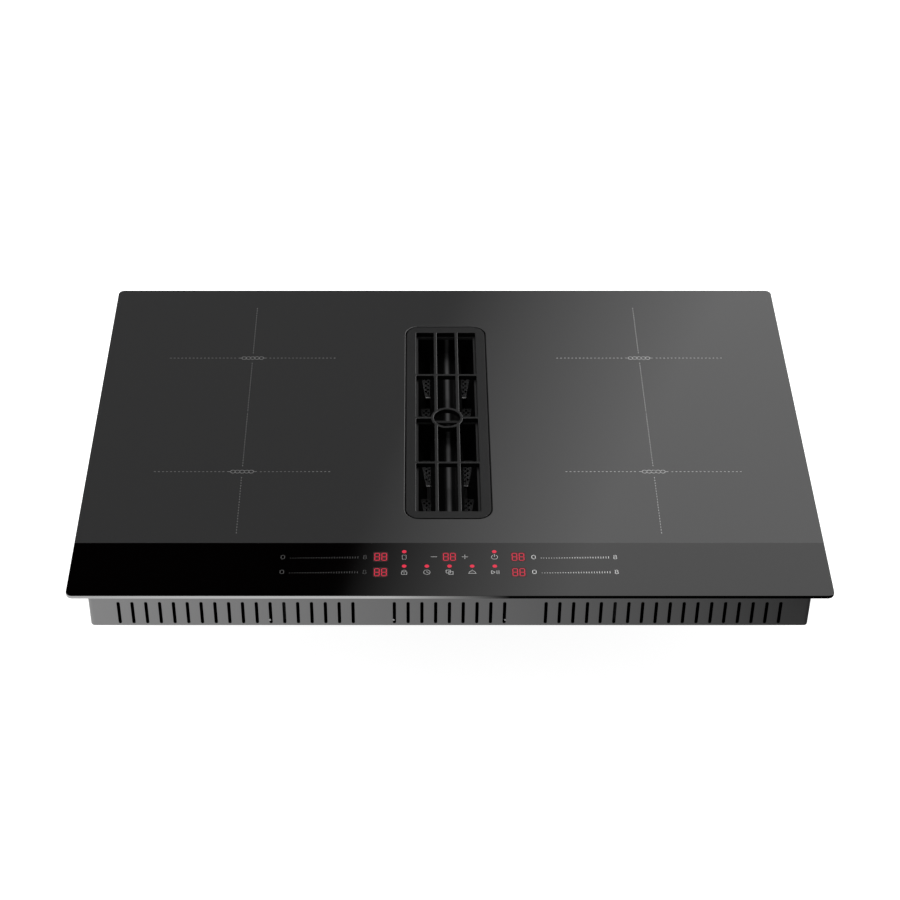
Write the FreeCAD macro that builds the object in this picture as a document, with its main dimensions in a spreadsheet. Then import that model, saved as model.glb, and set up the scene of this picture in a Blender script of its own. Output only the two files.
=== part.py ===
import FreeCAD, Part
import Sketcher
import math
import os
import re
from FreeCAD import Placement, Rotation, Vector

# Venting induction cooktop, millimetres.  Origin: centre of the worktop cut-out on the worktop's
# surface.  +Z up, the user stands on the -Y side.  The hob hangs in the cut-out by its glass rim.

sizes = {
    # glass plate and its seal
    "glass_wide": 770, "glass_deep": 520, "glass_thick": 4, "glass_corner": 7, "glass_chamfer": 0.6,
    "seal_thick": 1.5, "seal_wide": 10, "seal_inset": 2,
    # sheet-metal casing
    "casing_wide": 733, "casing_deep": 484, "casing_high": 55.8, "casing_corner": 4, "sheet_metal": 1,
    "flange_wide": 10, "bend_outer": 2,
    # slots in the front and the back wall
    "slot_wide": 3.4, "slot_high": 30, "slot_foot": 4, "slot_pitch": 14, "slot_side_first": 98,
    "slot_side_count": 18, "slot_mid_count": 9, "rear_slot_count": 14, "rear_slot_first": 130,
    # grille and the well below it
    "well_y": 22.2, "grille_wide": 92, "grille_deep": 333, "grille_thick": 6, "grille_corner": 15,
    "grille_rail": 11.8, "grille_gap": 1, "bar_wide": 4, "bar_x": 12, "cross_wide": 3.6,
    "cross_pitch": 76, "ring_outer": 18.2, "ring_inner": 14.4, "pad_thick": 0.6,
    "well_wall": 2, "well_lip": 14, "cassette_ledge": 5, "well_inner_wide": 67, "well_inner_deep": 309,
    "gasket_thick": 0.5, "well_foot": 8, "well_bore_corner": 1.5, "pit_corner": 4, "well_corner": 5,
    "well_lip_corner": 10, "pad_wide": 4, "pad_long": 24, "pad_from_end": 60,
    # filter cassettes
    "rim_thick": 2, "cassette_gap": 0.6, "cassette_wall": 1.2, "cassette_clear": 0.8,
    "cassette_high": 54, "spine_wide": 6, "spine_drop": 28, "shoulder_half": 8.4, "shoulder_fall": 3,
    "roof_half": 18, "roof_fall": 6, "spine_foot": 13, "spine_skin": 1.4, "liner_drop": 26, "liner_top_half": 31,
    "liner_fall": 24, "liner_foot_half": 22, "liner_thick": 1.2, "plate_thick": 1,
    "plate_drop": 32, "plate_fall": 15, "plate_run": 25.8, "plate_first": 34, "plate_pitch": 63.8,
    "lip_high": 2, "rim_corner": 3, "tie_wide": 3,
    # plenum, drip tray and blower under the casing
    "box_corner": 1.2, "ring_arcs": 12,
    "plenum_wide": 190, "plenum_front": -140, "plenum_back": 215, "plenum_high": 50, "plastic_wall": 2.5,
    "plenum_flange": 12, "tray_mouth_wide": 104, "tray_mouth_front": -126, "tray_mouth_back": -66,
    "tray_wall": 2, "tray_deep": 30, "tray_flange": 7, "tray_clear": 0.3, "rail_thick": 2,
    "blower_y": 85, "scroll_start": 98, "scroll_end": 148, "scroll_high": 92, "bell_radius": 56,
    "tongue_angle": 100, "tongue_turn": 4.2, "throat_step": 4.8, "blade_lean": 34,
    "bell_drop": 14, "impeller_radius": 84, "impeller_eye": 60, "blade_count": 13, "blade_thick": 1.6,
    "wheel_high": 64, "ring_thick": 2, "blade_gap": 4, "hub_radius": 48, "hub_wall": 2.5, "hub_high": 38, "hub_top": 48,
    "wheel_plate": 2.5, "shaft_radius": 4, "shaft_fit": 0.05, "shaft_long": 52, "motor_radius": 42, "motor_high": 36,
    "motor_plate": 3, "motor_rim": 4, "neck_radius": 12, "neck_high": 42,
    "outlet_wide": 218, "outlet_high": 85, "outlet_long": 36, "outlet_wall": 2, "flap_thick": 1.5,
    "flap_pin": 1.5, "flap_side_gap": 1.0,
    # cooking zones and what lies below them
    "zone_x": 219.5, "zone_back": 129, "zone_front": -69.2, "coil_outer": 88, "coil_inner": 22,
    "coil_thick": 4.5, "mica_thick": 0.8, "carrier_outer": 92, "carrier_thick": 4, "carrier_rim": 8, "spoke_wide": 14,
    "ferrite_long": 54, "ferrite_wide": 10, "ferrite_thick": 5, "ferrite_count": 8, "sensor_radius": 8,
    "cushion_radius": 5, "coil_plate_wide": 230, "coil_plate_deep": 396, "coil_plate_thick": 1.5,
    "coil_plate_drop": 10, "leg_wide": 20,
    # boards, heat sinks and cooling fans
    "board_thick": 1.6, "standoff_high": 6, "standoff_radius": 3.5, "board_x": 222, "board_wide": 196,
    "board_deep": 290, "board_y": -8, "sink_x": 275, "sink_wide": 56, "sink_deep": 150, "sink_y": 45,
    "sink_high": 22, "sink_base": 4, "fin_thick": 1.6, "fin_count": 9, "fan_x": 282, "fan_y": 186,
    "fan_side": 80, "fan_high": 25, "fan_bore": 38, "fan_rotor": 36, "fan_hub": 16, "fan_pin": 2,
    "fan_blades": 7, "vent_wide": 4, "vent_pitch": 10, "vent_count": 7, "vent_long": 64,
    # touch controls under the front strip
    "touch_wide": 372, "touch_deep": 52, "touch_y": -213, "touch_drop": 10, "display_wide": 15,
    "display_deep": 13, "display_x": 70, "row_back": -202.5, "row_front": -225.5, "key_pitch": 23,
    "slider_start": 86, "slider_end": 169, "slider_keys": 6,
    # mains connection
    "terminal_x": 200, "terminal_y": 196, "terminal_wide": 92, "terminal_deep": 60, "terminal_high": 32,
    "gland_radius": 6.5, "gland_outer": 10, "wire_radius": 7, "cover_thick": 2, "hinge_radius": 2,
    # worktop clamps and screws
    "clamp_x": 348, "clamp_y": 214, "clamp_wide": 16, "clamp_long": 46, "clamp_thick": 2.5, "clamp_tab": 5, "clamp_play": 0.3,
    "screw_radius": 2, "screw_fit": 0.05, "screw_head": 4, "screw_head_high": 2.4,
}

doc = FreeCAD.newDocument("VentingHob")
dims = doc.addObject("Spreadsheet::Sheet", "dims")
for row, (alias, value) in enumerate(sizes.items(), 1):
    dims.set("A%d" % row, alias)
    dims.set("B%d" % row, str(value))
    dims.setAlias("B%d" % row, alias)
doc.recompute()

subparts = []


def bound(text):
    """Puts the sheet's name before every size in an expression."""
    return re.sub(r"[a-z][a-z0-9_]*", lambda m: "dims." + m.group(0) if m.group(0) in sizes else m.group(0), text)


def size(text):
    """The value of one size, read from the sheet."""
    return float(dims.get(text))


def bind(obj, prop, text):
    obj.setExpression(prop, bound(str(text)))


def place(obj, cx, cy, z0):
    bind(obj, "Placement.Base.x", cx)
    bind(obj, "Placement.Base.y", cy)
    bind(obj, "Placement.Base.z", z0)


def block(name, cx, cy, z0, lx, ly, lz):
    """A box centred on cx, cy that stands on z0."""
    obj = doc.addObject("Part::Box", name)
    bind(obj, "Length", lx)
    bind(obj, "Width", ly)
    bind(obj, "Height", lz)
    place(obj, "(%s) - (%s) / 2" % (cx, lx), "(%s) - (%s) / 2" % (cy, ly), z0)
    return obj


def drum(name, cx, cy, z0, radius, high, axis="z"):
    """A cylinder that starts at the given point and runs along +axis."""
    obj = doc.addObject("Part::Cylinder", name)
    bind(obj, "Radius", radius)
    bind(obj, "Height", high)
    turns = {"z": Rotation(), "x": Rotation(Vector(0, 1, 0), 90), "y": Rotation(Vector(1, 0, 0), -90)}
    obj.Placement = Placement(Vector(), turns[axis])
    place(obj, cx, cy, z0)
    return obj


def group(name, pieces):
    obj = doc.addObject("Part::Compound", name)
    obj.Links = pieces
    return obj


def fuse(name, pieces):
    obj = doc.addObject("Part::MultiFuse", name)
    obj.Shapes = pieces
    return obj


def cut(name, base, tools):
    obj = doc.addObject("Part::Cut", name)
    obj.Base = base
    obj.Tool = tools[0] if len(tools) == 1 else fuse(name + "_tools", tools)
    return obj


def upright(edge):
    low, high = edge.BoundBox.ZMin, edge.BoundBox.ZMax
    return edge.Length > 0.1 and abs(edge.Length - (high - low)) < 1e-4


def rounded(name, base, radius, chosen=upright):
    """Rounds the edges of base that the test picks, the upright ones if none is given."""
    doc.recompute()
    obj = doc.addObject("Part::Fillet", name)
    obj.Base = base
    obj.Edges = [(i, radius, radius) for i, e in enumerate(base.Shape.Edges, 1) if chosen(e)]
    return obj


def made(name, shape):
    """A piece whose shape is built below from sheet values."""
    obj = doc.addObject("Part::Feature", name)
    obj.Shape = shape
    return obj


def subpart(obj, label):
    obj.Label = label
    subparts.append(obj)
    return obj


def body_with(name):
    return doc.addObject("PartDesign::Body", name)


def origin_plane(body, role):
    return [f for f in body.Origin.OriginFeatures if f.Role == role][0]


def sketch_on(body, name, role, offset):
    """A sketch on one of the body's own origin planes, moved along its normal."""
    sketch = body.newObject("Sketcher::SketchObject", name)
    sketch.AttachmentSupport = [(origin_plane(body, role), "")]
    sketch.MapMode = "FlatFace"
    bind(sketch, "AttachmentOffset.Base.z", offset)
    return sketch


def length_rule(sketch, kind, args, name, text):
    index = sketch.addConstraint(Sketcher.Constraint(kind, *args))
    sketch.renameConstraint(index, name)
    bind(sketch, "Constraints." + name, text)


def add_rectangle(sketch, tag, wide, deep, corner, mid_y="0"):
    """A rounded rectangle centred on the sketch's own Y axis; wide, deep, corner and mid_y are expressions."""
    first = sketch.GeometryCount
    w, d, r, cy = (number(text) for text in (wide, deep, corner, mid_y))
    x, y = w / 2, d / 2
    lines = [((-x + r, cy - y), (x - r, cy - y)), ((x, cy - y + r), (x, cy + y - r)),
             ((x - r, cy + y), (-x + r, cy + y)), ((-x, cy + y - r), (-x, cy - y + r))]
    for a, b in lines:
        sketch.addGeometry(Part.LineSegment(Vector(*a, 0), Vector(*b, 0)), False)
    middles = [(x - r, cy - y + r, 270), (x - r, cy + y - r, 0), (-x + r, cy + y - r, 90), (-x + r, cy - y + r, 180)]
    for mx, my, start in middles:
        circle = Part.Circle(Vector(mx, my, 0), Vector(0, 0, 1), r)
        a = math.radians(start)
        sketch.addGeometry(Part.ArcOfCircle(circle, a, a + math.pi / 2), False)
    for i in range(4):
        line, arc = first + i, first + 4 + i
        sketch.addConstraint(Sketcher.Constraint("Tangent", line, 2, arc, 1))
        sketch.addConstraint(Sketcher.Constraint("Tangent", arc, 2, first + (i + 1) % 4, 1))
    sketch.addConstraint(Sketcher.Constraint("Horizontal", first))
    sketch.addConstraint(Sketcher.Constraint("Vertical", first + 1))
    for i in range(1, 4):
        sketch.addConstraint(Sketcher.Constraint("Equal", first + 4, first + 4 + i))
    length_rule(sketch, "Radius", (first + 4, r), tag + "_corner", corner)
    length_rule(sketch, "DistanceX", (first + 3, 1, first + 1, 1, w), tag + "_wide", wide)
    length_rule(sketch, "DistanceY", (first, 1, first + 2, 1, d), tag + "_deep", deep)
    length_rule(sketch, "DistanceX", (-1, 1, first + 1, 1, x), tag + "_half", "(%s) / 2" % wide)
    length_rule(sketch, "DistanceY", (-1, 1, first + 2, 1, cy + y), tag + "_top", "(%s) + (%s) / 2" % (mid_y, deep))


def number(text):
    """Works out an expression of sheet sizes."""
    return float(dims.evalExpression(bound(str(text))))


def pad(body, sketch, high):
    feature = body.newObject("PartDesign::Pad", sketch.Name + "_pad")
    feature.Profile = sketch
    bind(feature, "Length", high)
    return feature


def pocket(body, sketch, depth, reverse=False):
    feature = body.newObject("PartDesign::Pocket", sketch.Name + "_pocket")
    feature.Profile = sketch
    feature.Reversed = reverse
    bind(feature, "Length", depth)
    return feature


def repeated(body, feature, sketch, axis, length, count):
    feature_row = body.newObject("PartDesign::LinearPattern", feature.Name + "_row")
    feature_row.Originals = [feature]
    feature_row.Direction = (sketch, [axis])
    bind(feature_row, "Length", length)
    bind(feature_row, "Occurrences", count)
    body.Tip = feature_row
    return feature_row


# levels, as expressions
glass_low = "seal_thick"
glass_top = "(seal_thick + glass_thick)"
casing_low = "(seal_thick - casing_high)"
floor_in = "(seal_thick - casing_high + sheet_metal)"
ledge_top = "(seal_thick + glass_thick - grille_thick)"
rim_low = "(seal_thick + glass_thick - grille_thick - rim_thick)"
board_top = "(seal_thick - casing_high + sheet_metal + standoff_high + board_thick)"
ferrite_low = "(seal_thick - mica_thick - coil_thick - carrier_thick - ferrite_thick)"
plate_level = "(seal_thick - mica_thick - coil_thick - carrier_thick - coil_plate_drop - coil_plate_thick)"
plenum_low = "(seal_thick - casing_high - plenum_high)"
lid_low = "(seal_thick - casing_high - plenum_high - plastic_wall)"
scroll_low = "(seal_thick - casing_high - plenum_high - plastic_wall - scroll_high)"


# ---- glass plate with the grille's cut-out, and the foam seal below its rim ----
glass = body_with("Glass")
outline = sketch_on(glass, "GlassOutline", "XY_Plane", glass_low)
add_rectangle(outline, "plate", "glass_wide", "glass_deep", "glass_corner")
pad(glass, outline, "glass_thick")
hole = sketch_on(glass, "GlassHole", "XY_Plane", glass_top)
add_rectangle(hole, "hole", "grille_wide + 2 * grille_gap", "grille_deep + 2 * grille_gap",
              "grille_corner + grille_gap", "well_y")
glass_cut = pocket(glass, hole, "glass_thick + 1")
doc.recompute()
rim_edges = []
for i, edge in enumerate(glass_cut.Shape.Edges, 1):
    if edge.BoundBox.ZMin > number(glass_top) - 0.01:
        rim_edges.append("Edge%d" % i)
bevel = glass.newObject("PartDesign::Chamfer", "GlassBevel")
bevel.Base = (glass_cut, rim_edges)
bind(bevel, "Size", "glass_chamfer")
glass.Tip = bevel
subpart(glass, "glass_top")

seal = body_with("Seal")
seal_lines = sketch_on(seal, "SealLines", "XY_Plane", "0")
add_rectangle(seal_lines, "outer", "glass_wide - 2 * seal_inset", "glass_deep - 2 * seal_inset", "glass_corner")
add_rectangle(seal_lines, "inner", "glass_wide - 2 * seal_inset - 2 * seal_wide",
              "glass_deep - 2 * seal_inset - 2 * seal_wide", "glass_corner / 2")
pad(seal, seal_lines, "seal_thick")
subpart(seal, "rim_seal")


# ---- casing: bent tray with an inward top flange, slots in front and back, vents below ----
casing = body_with("Casing")
tray_lines = sketch_on(casing, "CasingLines", "XY_Plane", casing_low)
add_rectangle(tray_lines, "tray", "casing_wide", "casing_deep", "casing_corner")
tray_pad = pad(casing, tray_lines, "casing_high")
doc.recompute()
low_edges = []
for i, edge in enumerate(tray_pad.Shape.Edges, 1):
    if edge.BoundBox.ZMax < number(casing_low) + 0.01:
        low_edges.append("Edge%d" % i)
bend = casing.newObject("PartDesign::Fillet", "CasingBend")
bend.Base = (tray_pad, low_edges)
bind(bend, "Radius", "bend_outer")
casing.Tip = bend
mouth = sketch_on(casing, "CasingMouth", "XY_Plane", glass_low)
add_rectangle(mouth, "mouth", "casing_wide - 2 * flange_wide", "casing_deep - 2 * flange_wide", "casing_corner")
pocket(casing, mouth, "sheet_metal + 1")
hollow = sketch_on(casing, "CasingHollow", "XY_Plane", "seal_thick - sheet_metal")
add_rectangle(hollow, "hollow", "casing_wide - 2 * sheet_metal", "casing_deep - 2 * sheet_metal",
              "casing_corner - sheet_metal")
pocket(casing, hollow, "casing_high - 2 * sheet_metal")
well_hole = sketch_on(casing, "CasingWellHole", "XY_Plane", floor_in)
add_rectangle(well_hole, "well", "well_inner_wide + 2 * well_wall + 2", "well_inner_deep + 2 * well_wall + 2",
              "casing_corner", "well_y")
pocket(casing, well_hole, "sheet_metal + 1")


plenum_deep = "(plenum_back - plenum_front)"
plenum_mid = "((plenum_back + plenum_front) / 2)"
clamp_spots = [(sx + "clamp_x", sy + "clamp_y") for sy in ("-1 * ", "1 * ") for sx in ("-1 * ", "1 * ")]
plenum_spots = []
for share in ("-0.42", "0", "0.42"):
    for side in ("-1 * ", "1 * "):
        plenum_spots.append((side + "(plenum_wide + plenum_flange) / 2", "%s + %s * %s" % (plenum_mid, share, plenum_deep)))
wire_spot = ("terminal_x", "terminal_y + terminal_deep / 2 - plastic_wall - wire_radius - 2")

screw_holes = sketch_on(casing, "CasingScrewHoles", "XY_Plane", floor_in)
for i, (cx, cy) in enumerate(clamp_spots + plenum_spots + [wire_spot]):
    radius = "wire_radius" if (cx, cy) == wire_spot else "screw_radius + screw_fit"
    x, y, r = number(cx), number(cy), number(radius)
    screw_holes.addGeometry(Part.Circle(Vector(x, y, 0), Vector(0, 0, 1), r), False)
    length_rule(screw_holes, "Radius", (i, r), "hole_radius%d" % i, radius)
    length_rule(screw_holes, "DistanceX", (-1, 1, i, 3, x), "hole_x%d" % i, cx)
    length_rule(screw_holes, "DistanceY", (-1, 1, i, 3, y), "hole_y%d" % i, cy)
pocket(casing, screw_holes, "sheet_metal + 1")


def slot_row(tag, first_x, count, behind):
    """A row of upright slots through the front wall, or through the back one."""
    wall = "-casing_deep / 2" if behind else "casing_deep / 2"
    lines = sketch_on(casing, tag, "XZ_Plane", wall)
    w, h = size("slot_wide"), size("slot_high") - size("slot_wide")
    x, z = number(first_x), number(casing_low + " + slot_foot + slot_wide / 2")
    lines.addGeometry(Part.LineSegment(Vector(x - w / 2, z, 0), Vector(x - w / 2, z + h, 0)), False)
    lines.addGeometry(Part.LineSegment(Vector(x + w / 2, z + h, 0), Vector(x + w / 2, z, 0)), False)
    top = Part.Circle(Vector(x, z + h, 0), Vector(0, 0, 1), w / 2)
    low = Part.Circle(Vector(x, z, 0), Vector(0, 0, 1), w / 2)
    lines.addGeometry(Part.ArcOfCircle(top, 0, math.pi), False)
    lines.addGeometry(Part.ArcOfCircle(low, math.pi, 2 * math.pi), False)
    for a, b, c, d in ((1, 1, 2, 1), (2, 2, 0, 2), (0, 1, 3, 1), (3, 2, 1, 2)):
        lines.addConstraint(Sketcher.Constraint("Tangent", a, b, c, d))
    lines.addConstraint(Sketcher.Constraint("Vertical", 0))
    length_rule(lines, "Radius", (3, w / 2), "slot_round", "slot_wide / 2")
    length_rule(lines, "DistanceY", (0, 1, 0, 2, h), "slot_length", "slot_high - slot_wide")
    length_rule(lines, "DistanceX", (-1, 1, 3, 3, x), "slot_place", first_x)
    length_rule(lines, "DistanceY", (-1, 1, 3, 3, z), "slot_level", casing_low + " + slot_foot + slot_wide / 2")
    one = pocket(casing, lines, "2 * sheet_metal", behind)
    doc.recompute()
    repeated(casing, one, lines, "H_Axis", "(%s - 1) * slot_pitch" % count, count)


slot_row("SlotsMid", "-(slot_mid_count - 1) / 2 * slot_pitch", "slot_mid_count", False)
slot_row("SlotsRight", "slot_side_first", "slot_side_count", False)
slot_row("SlotsLeft", "-slot_side_first - (slot_side_count - 1) * slot_pitch", "slot_side_count", False)
slot_row("RearSlotsRight", "rear_slot_first", "rear_slot_count", True)
slot_row("RearSlotsLeft", "-rear_slot_first - (rear_slot_count - 1) * slot_pitch", "rear_slot_count", True)


def vent_row(tag, side):
    """Intake slots in the casing's floor, below one cooling fan."""
    lines = sketch_on(casing, tag, "XY_Plane", floor_in)
    w, long = size("vent_wide"), size("vent_long")
    first_x = "%s * fan_x - (vent_count - 1) / 2 * vent_pitch" % side
    x, y = number(first_x), size("fan_y")
    corners = [(x - w / 2, y - long / 2), (x + w / 2, y - long / 2), (x + w / 2, y + long / 2), (x - w / 2, y + long / 2)]
    for i in range(4):
        lines.addGeometry(Part.LineSegment(Vector(*corners[i], 0), Vector(*corners[(i + 1) % 4], 0)), False)
    for i in range(4):
        lines.addConstraint(Sketcher.Constraint("Coincident", i, 2, (i + 1) % 4, 1))
        lines.addConstraint(Sketcher.Constraint("Vertical" if i % 2 else "Horizontal", i))
    length_rule(lines, "DistanceX", (0, 1, 0, 2, w), "vent_across", "vent_wide")
    length_rule(lines, "DistanceY", (1, 1, 1, 2, long), "vent_along", "vent_long")
    length_rule(lines, "DistanceX", (-1, 1, 0, 1, x - w / 2), "vent_place", "%s - vent_wide / 2" % first_x)
    length_rule(lines, "DistanceY", (-1, 1, 1, 2, y + long / 2), "vent_level", "fan_y + vent_long / 2")
    one = pocket(casing, lines, "2 * sheet_metal")
    doc.recompute()
    repeated(casing, one, lines, "H_Axis", "(vent_count - 1) * vent_pitch", "vent_count")


vent_row("VentsRight", "1")
vent_row("VentsLeft", "(-1)")
subpart(casing, "casing_tray")


# ---- grille: flush cast frame with two long bars, three cross bars and a finger ring ----
frame_block = block("GrilleBlock", "0", "well_y", ledge_top, "grille_wide", "grille_deep", "grille_thick")
frame_outer = rounded("GrilleOuter", frame_block, size("grille_corner"))
opening = block("GrilleOpening", "0", "well_y", ledge_top + " - 1", "grille_wide - 2 * grille_rail",
                "grille_deep - 2 * grille_rail", "grille_thick + 2")
grille_parts = [cut("GrilleFrame", frame_outer, [rounded("GrilleOpeningRound", opening, 2)])]
for side in ("-", ""):
    grille_parts.append(block("GrilleBar" + ("L" if side else "R"), side + "bar_x", "well_y", ledge_top,
                              "bar_wide", "grille_deep - 2 * grille_rail + 1", "grille_thick"))
for i in (-1, 0, 1):
    grille_parts.append(block("GrilleCross%d" % (i + 1), "0", "well_y + %d * cross_pitch" % i, ledge_top,
                              "grille_wide - 2 * grille_rail + 1", "cross_wide", "grille_thick"))
grille_parts.append(drum("GrilleBoss", "0", "well_y", ledge_top, "ring_outer", "grille_thick"))
ring_hole = drum("GrilleRingHole", "0", "well_y", ledge_top + " - 1", "ring_inner", "grille_thick + 2")
subpart(cut("Grille", fuse("GrilleAll", grille_parts), [ring_hole]), "air_grille")


# ---- inlet well: a stepped frame under the glass, and a shaft down through the casing's floor ----
well_parts = []
lip = block("WellLip", "0", "well_y", "seal_thick - gasket_thick - well_wall",
            "grille_wide + 2 * well_lip", "grille_deep + 2 * well_lip", "well_wall")
well_parts.append(rounded("WellLipRound", lip, size("well_lip_corner")))
cup = block("WellCup", "0", "well_y", rim_low + " - well_wall",
            "grille_wide + 2 * grille_gap + 2 * well_wall", "grille_deep + 2 * grille_gap + 2 * well_wall",
            "seal_thick - gasket_thick - %s + well_wall" % rim_low)
well_parts.append(rounded("WellCupRound", cup, size("grille_corner") + size("grille_gap") + size("well_wall")))
shaft = block("WellShaft", "0", "well_y", casing_low + " - well_foot", "well_inner_wide + 2 * well_wall",
              "well_inner_deep + 2 * well_wall", rim_low + " + well_foot - " + casing_low)
well_parts.append(rounded("WellShaftRound", shaft, size("well_corner")))
seat = block("WellSeat", "0", "well_y", ledge_top + " - pad_thick", "grille_wide + 2 * grille_gap",
             "grille_deep + 2 * grille_gap", "grille_thick + 10")
pit = block("WellPit", "0", "well_y", rim_low, "well_inner_wide + 2 * cassette_ledge",
            "well_inner_deep + 2 * cassette_ledge", "rim_thick + 10")
bore = block("WellBore", "0", "well_y", casing_low + " - well_foot - 1", "well_inner_wide",
             "well_inner_deep", "casing_high + 20")
well_tools = [rounded("WellSeatRound", seat, size("grille_corner") + size("grille_gap")),
              rounded("WellPitRound", pit, size("pit_corner")),
              rounded("WellBoreRound", bore, size("well_bore_corner"))]
subpart(cut("Well", fuse("WellSolid", well_parts), well_tools), "inlet_well")

gasket_outer = block("GasketOuter", "0", "well_y", "seal_thick - gasket_thick", "grille_wide + 2 * well_lip - 2",
                     "grille_deep + 2 * well_lip - 2", "gasket_thick")
gasket_inner = block("GasketInner", "0", "well_y", "seal_thick - gasket_thick - 1",
                     "grille_wide + 2 * grille_gap + 3", "grille_deep + 2 * grille_gap + 3", "gasket_thick + 2")
gasket_tools = [rounded("GasketInnerRound", gasket_inner, size("grille_corner") + size("grille_gap"))]
gasket_round = rounded("GasketOuterRound", gasket_outer, size("well_lip_corner") - 1)
subpart(cut("Gasket", gasket_round, gasket_tools), "well_gasket")

pads = []
for i, (sx, sy) in enumerate(((-1, -1), (1, -1), (-1, 1), (1, 1))):
    pads.append(block("GrillePad%d" % i, "%d * (grille_wide / 2 - pad_wide)" % sx,
                      "well_y + %d * (grille_deep / 2 - pad_from_end)" % sy, ledge_top + " - pad_thick",
                      "pad_wide", "pad_long", "pad_thick"))
subpart(group("GrillePads", pads), "grille_pads")


# ---- filter cassettes: rim, walls, centre spine, and the perforated plates between them ----
cassette_long = "(well_inner_deep / 2 - cassette_gap / 2 - cassette_clear)"
cassette_wide = "(well_inner_wide - 2 * cassette_clear)"


def spine_profile():
    """Half of the spine's section from its crown to its foot, as points (x, z)."""
    crown = number(glass_top + " - spine_drop")
    foot = number(rim_low + " + rim_thick - cassette_high")
    return [(size("spine_wide") / 2, crown), (size("shoulder_half"), crown - size("shoulder_fall")),
            (size("roof_half"), crown - size("roof_fall")), (size("spine_foot"), foot)]


def prism(points, y0, long):
    """A bar along Y with the given section of points (x, z)."""
    wire = Part.makePolygon([Vector(x, y0, z) for x, z in points + points[:1]])
    return Part.Face(wire).extrude(Vector(0, long, 0))


def spine_shape(middle, long):
    """The hollow ridge along the cassette: crown, shallow roof and two side walls."""
    half = spine_profile()
    skin = size("spine_skin")
    y0 = middle - long / 2
    outer = half + [(-x, z) for x, z in reversed(half)]
    inner_half = [(x - skin, z - skin) for x, z in half]
    inner = inner_half + [(-x, z) for x, z in reversed(inner_half)]
    return prism(outer, y0, long).cut(prism(inner, y0 - 1, long + 2))


def liner_shape(side, middle, long):
    """A sloping side plate that narrows the cassette towards its foot."""
    top = number(glass_top + " - liner_drop")
    low = top - size("liner_fall")
    x_top, x_low, t = size("liner_top_half"), size("liner_foot_half"), size("liner_thick")
    points = [(x_top, top), (x_top + t, top), (x_low + t, low), (x_low, low)]
    return prism([(side * x, z) for x, z in points], middle - long / 2, long)


def plate_edges(level):
    """Where a filter plate meets the spine's side and the liner, at the given height."""
    roof, foot = spine_profile()[2:]
    share = (roof[1] - level) / (roof[1] - foot[1])
    near = roof[0] + share * (foot[0] - roof[0])
    share = (number(glass_top + " - liner_drop") - level) / size("liner_fall")
    far = size("liner_top_half") + share * (size("liner_foot_half") - size("liner_top_half"))
    return near, far


def filter_plate(side, back_y, front_y, z_top):
    """One sloping plate: wide at its top, narrow at its foot, with a lip along the foot."""
    t, z_low = size("plate_thick"), z_top - size("plate_fall")
    in_top, out_top = plate_edges(z_top)
    in_low, out_low = plate_edges(z_low)
    corners = [(in_top, back_y, z_top), (out_top, back_y, z_top), (out_low, front_y, z_low), (in_low, front_y, z_low)]
    wire = Part.makePolygon([Vector(side * x, y, z) for x, y, z in corners + corners[:1]])
    plate = Part.Face(wire).extrude(Vector(0, 0, -t))
    lip = Part.makeBox(out_low - in_low, t, size("lip_high") + t)
    lip.translate(Vector(in_low if side > 0 else -out_low, front_y - t, z_low - t))
    return plate.fuse(lip)


def cassette(place_name, sign):
    """One cassette, behind (sign 1) or in front (sign -1) of the well's middle."""
    low_level = rim_low + " + rim_thick - cassette_high"
    middle = "(well_y + %d * (cassette_gap / 2 + %s / 2))" % (sign, cassette_long)
    rim_deep = "(%s + cassette_ledge)" % cassette_long
    rim_mid = "(well_y + %d * (cassette_gap / 2 + (%s) / 2))" % (sign, rim_deep)
    tag = "Cassette" + place_name
    rim = block(tag + "Rim", "0", rim_mid, rim_low, "%s + 2 * cassette_ledge" % cassette_wide, rim_deep, "rim_thick")
    walls = block(tag + "Walls", "0", middle, low_level, cassette_wide, cassette_long, "cassette_high")
    outside = fuse(tag + "Outside", [rounded(tag + "RimRound", rim, size("rim_corner")), walls])
    inside = block(tag + "Inside", "0", middle, low_level + " - 1", cassette_wide + " - 2 * cassette_wall",
                   cassette_long + " - 2 * cassette_wall", "cassette_high + 3")
    tub = cut(tag + "Tub", outside, [inside])
    length = number(cassette_long) - size("cassette_wall")
    spine = made(tag + "Spine", spine_shape(number(middle), length))
    tie_parts = [tub, spine]
    for side in (-1, 1):
        tie_parts.append(made("%sLiner%d" % (tag, side), liner_shape(side, number(middle), length)))
    for i, share in enumerate((-0.46, 0, 0.46)):
        tie_parts.append(block(tag + "Tie%d" % i, "0", "%s + %s * %s" % (middle, share, cassette_long), low_level,
                               cassette_wide + " - cassette_wall", "tie_wide", "tie_wide"))
    back = number(middle) + number(cassette_long) / 2 - size("cassette_wall")
    z_top = number(glass_top + " - plate_drop")
    plates = []
    for i in range(2):
        y_top = back - size("plate_first") - i * size("plate_pitch")
        for side in (-1, 1):
            plates.append(filter_plate(side, y_top, y_top - size("plate_run"), z_top))
    mesh = made(tag + "Mesh", Part.makeCompound(plates))
    subpart(cut(tag, fuse(tag + "Body", tie_parts), [mesh]), "cassette_" + place_name.lower())
    subpart(mesh, "filter_mesh_" + place_name.lower())


cassette("Back", 1)
cassette("Front", -1)


def ring_arcs(inner, outer, z_low, high, count):
    """Equal touching arcs that make up one moulded ring round the blower's axis."""
    arcs = []
    centre = Vector(0, size("blower_y"), z_low)
    for i in range(count):
        arc = Part.makeCylinder(outer, high, centre, Vector(0, 0, 1), 360.0 / count)
        core = Part.makeCylinder(inner, high, centre, Vector(0, 0, 1), 360.0 / count)
        arc = arc.cut(core)
        arc.rotate(centre, Vector(0, 0, 1), 360.0 * i / count)
        arcs.append(arc)
    return arcs


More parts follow.
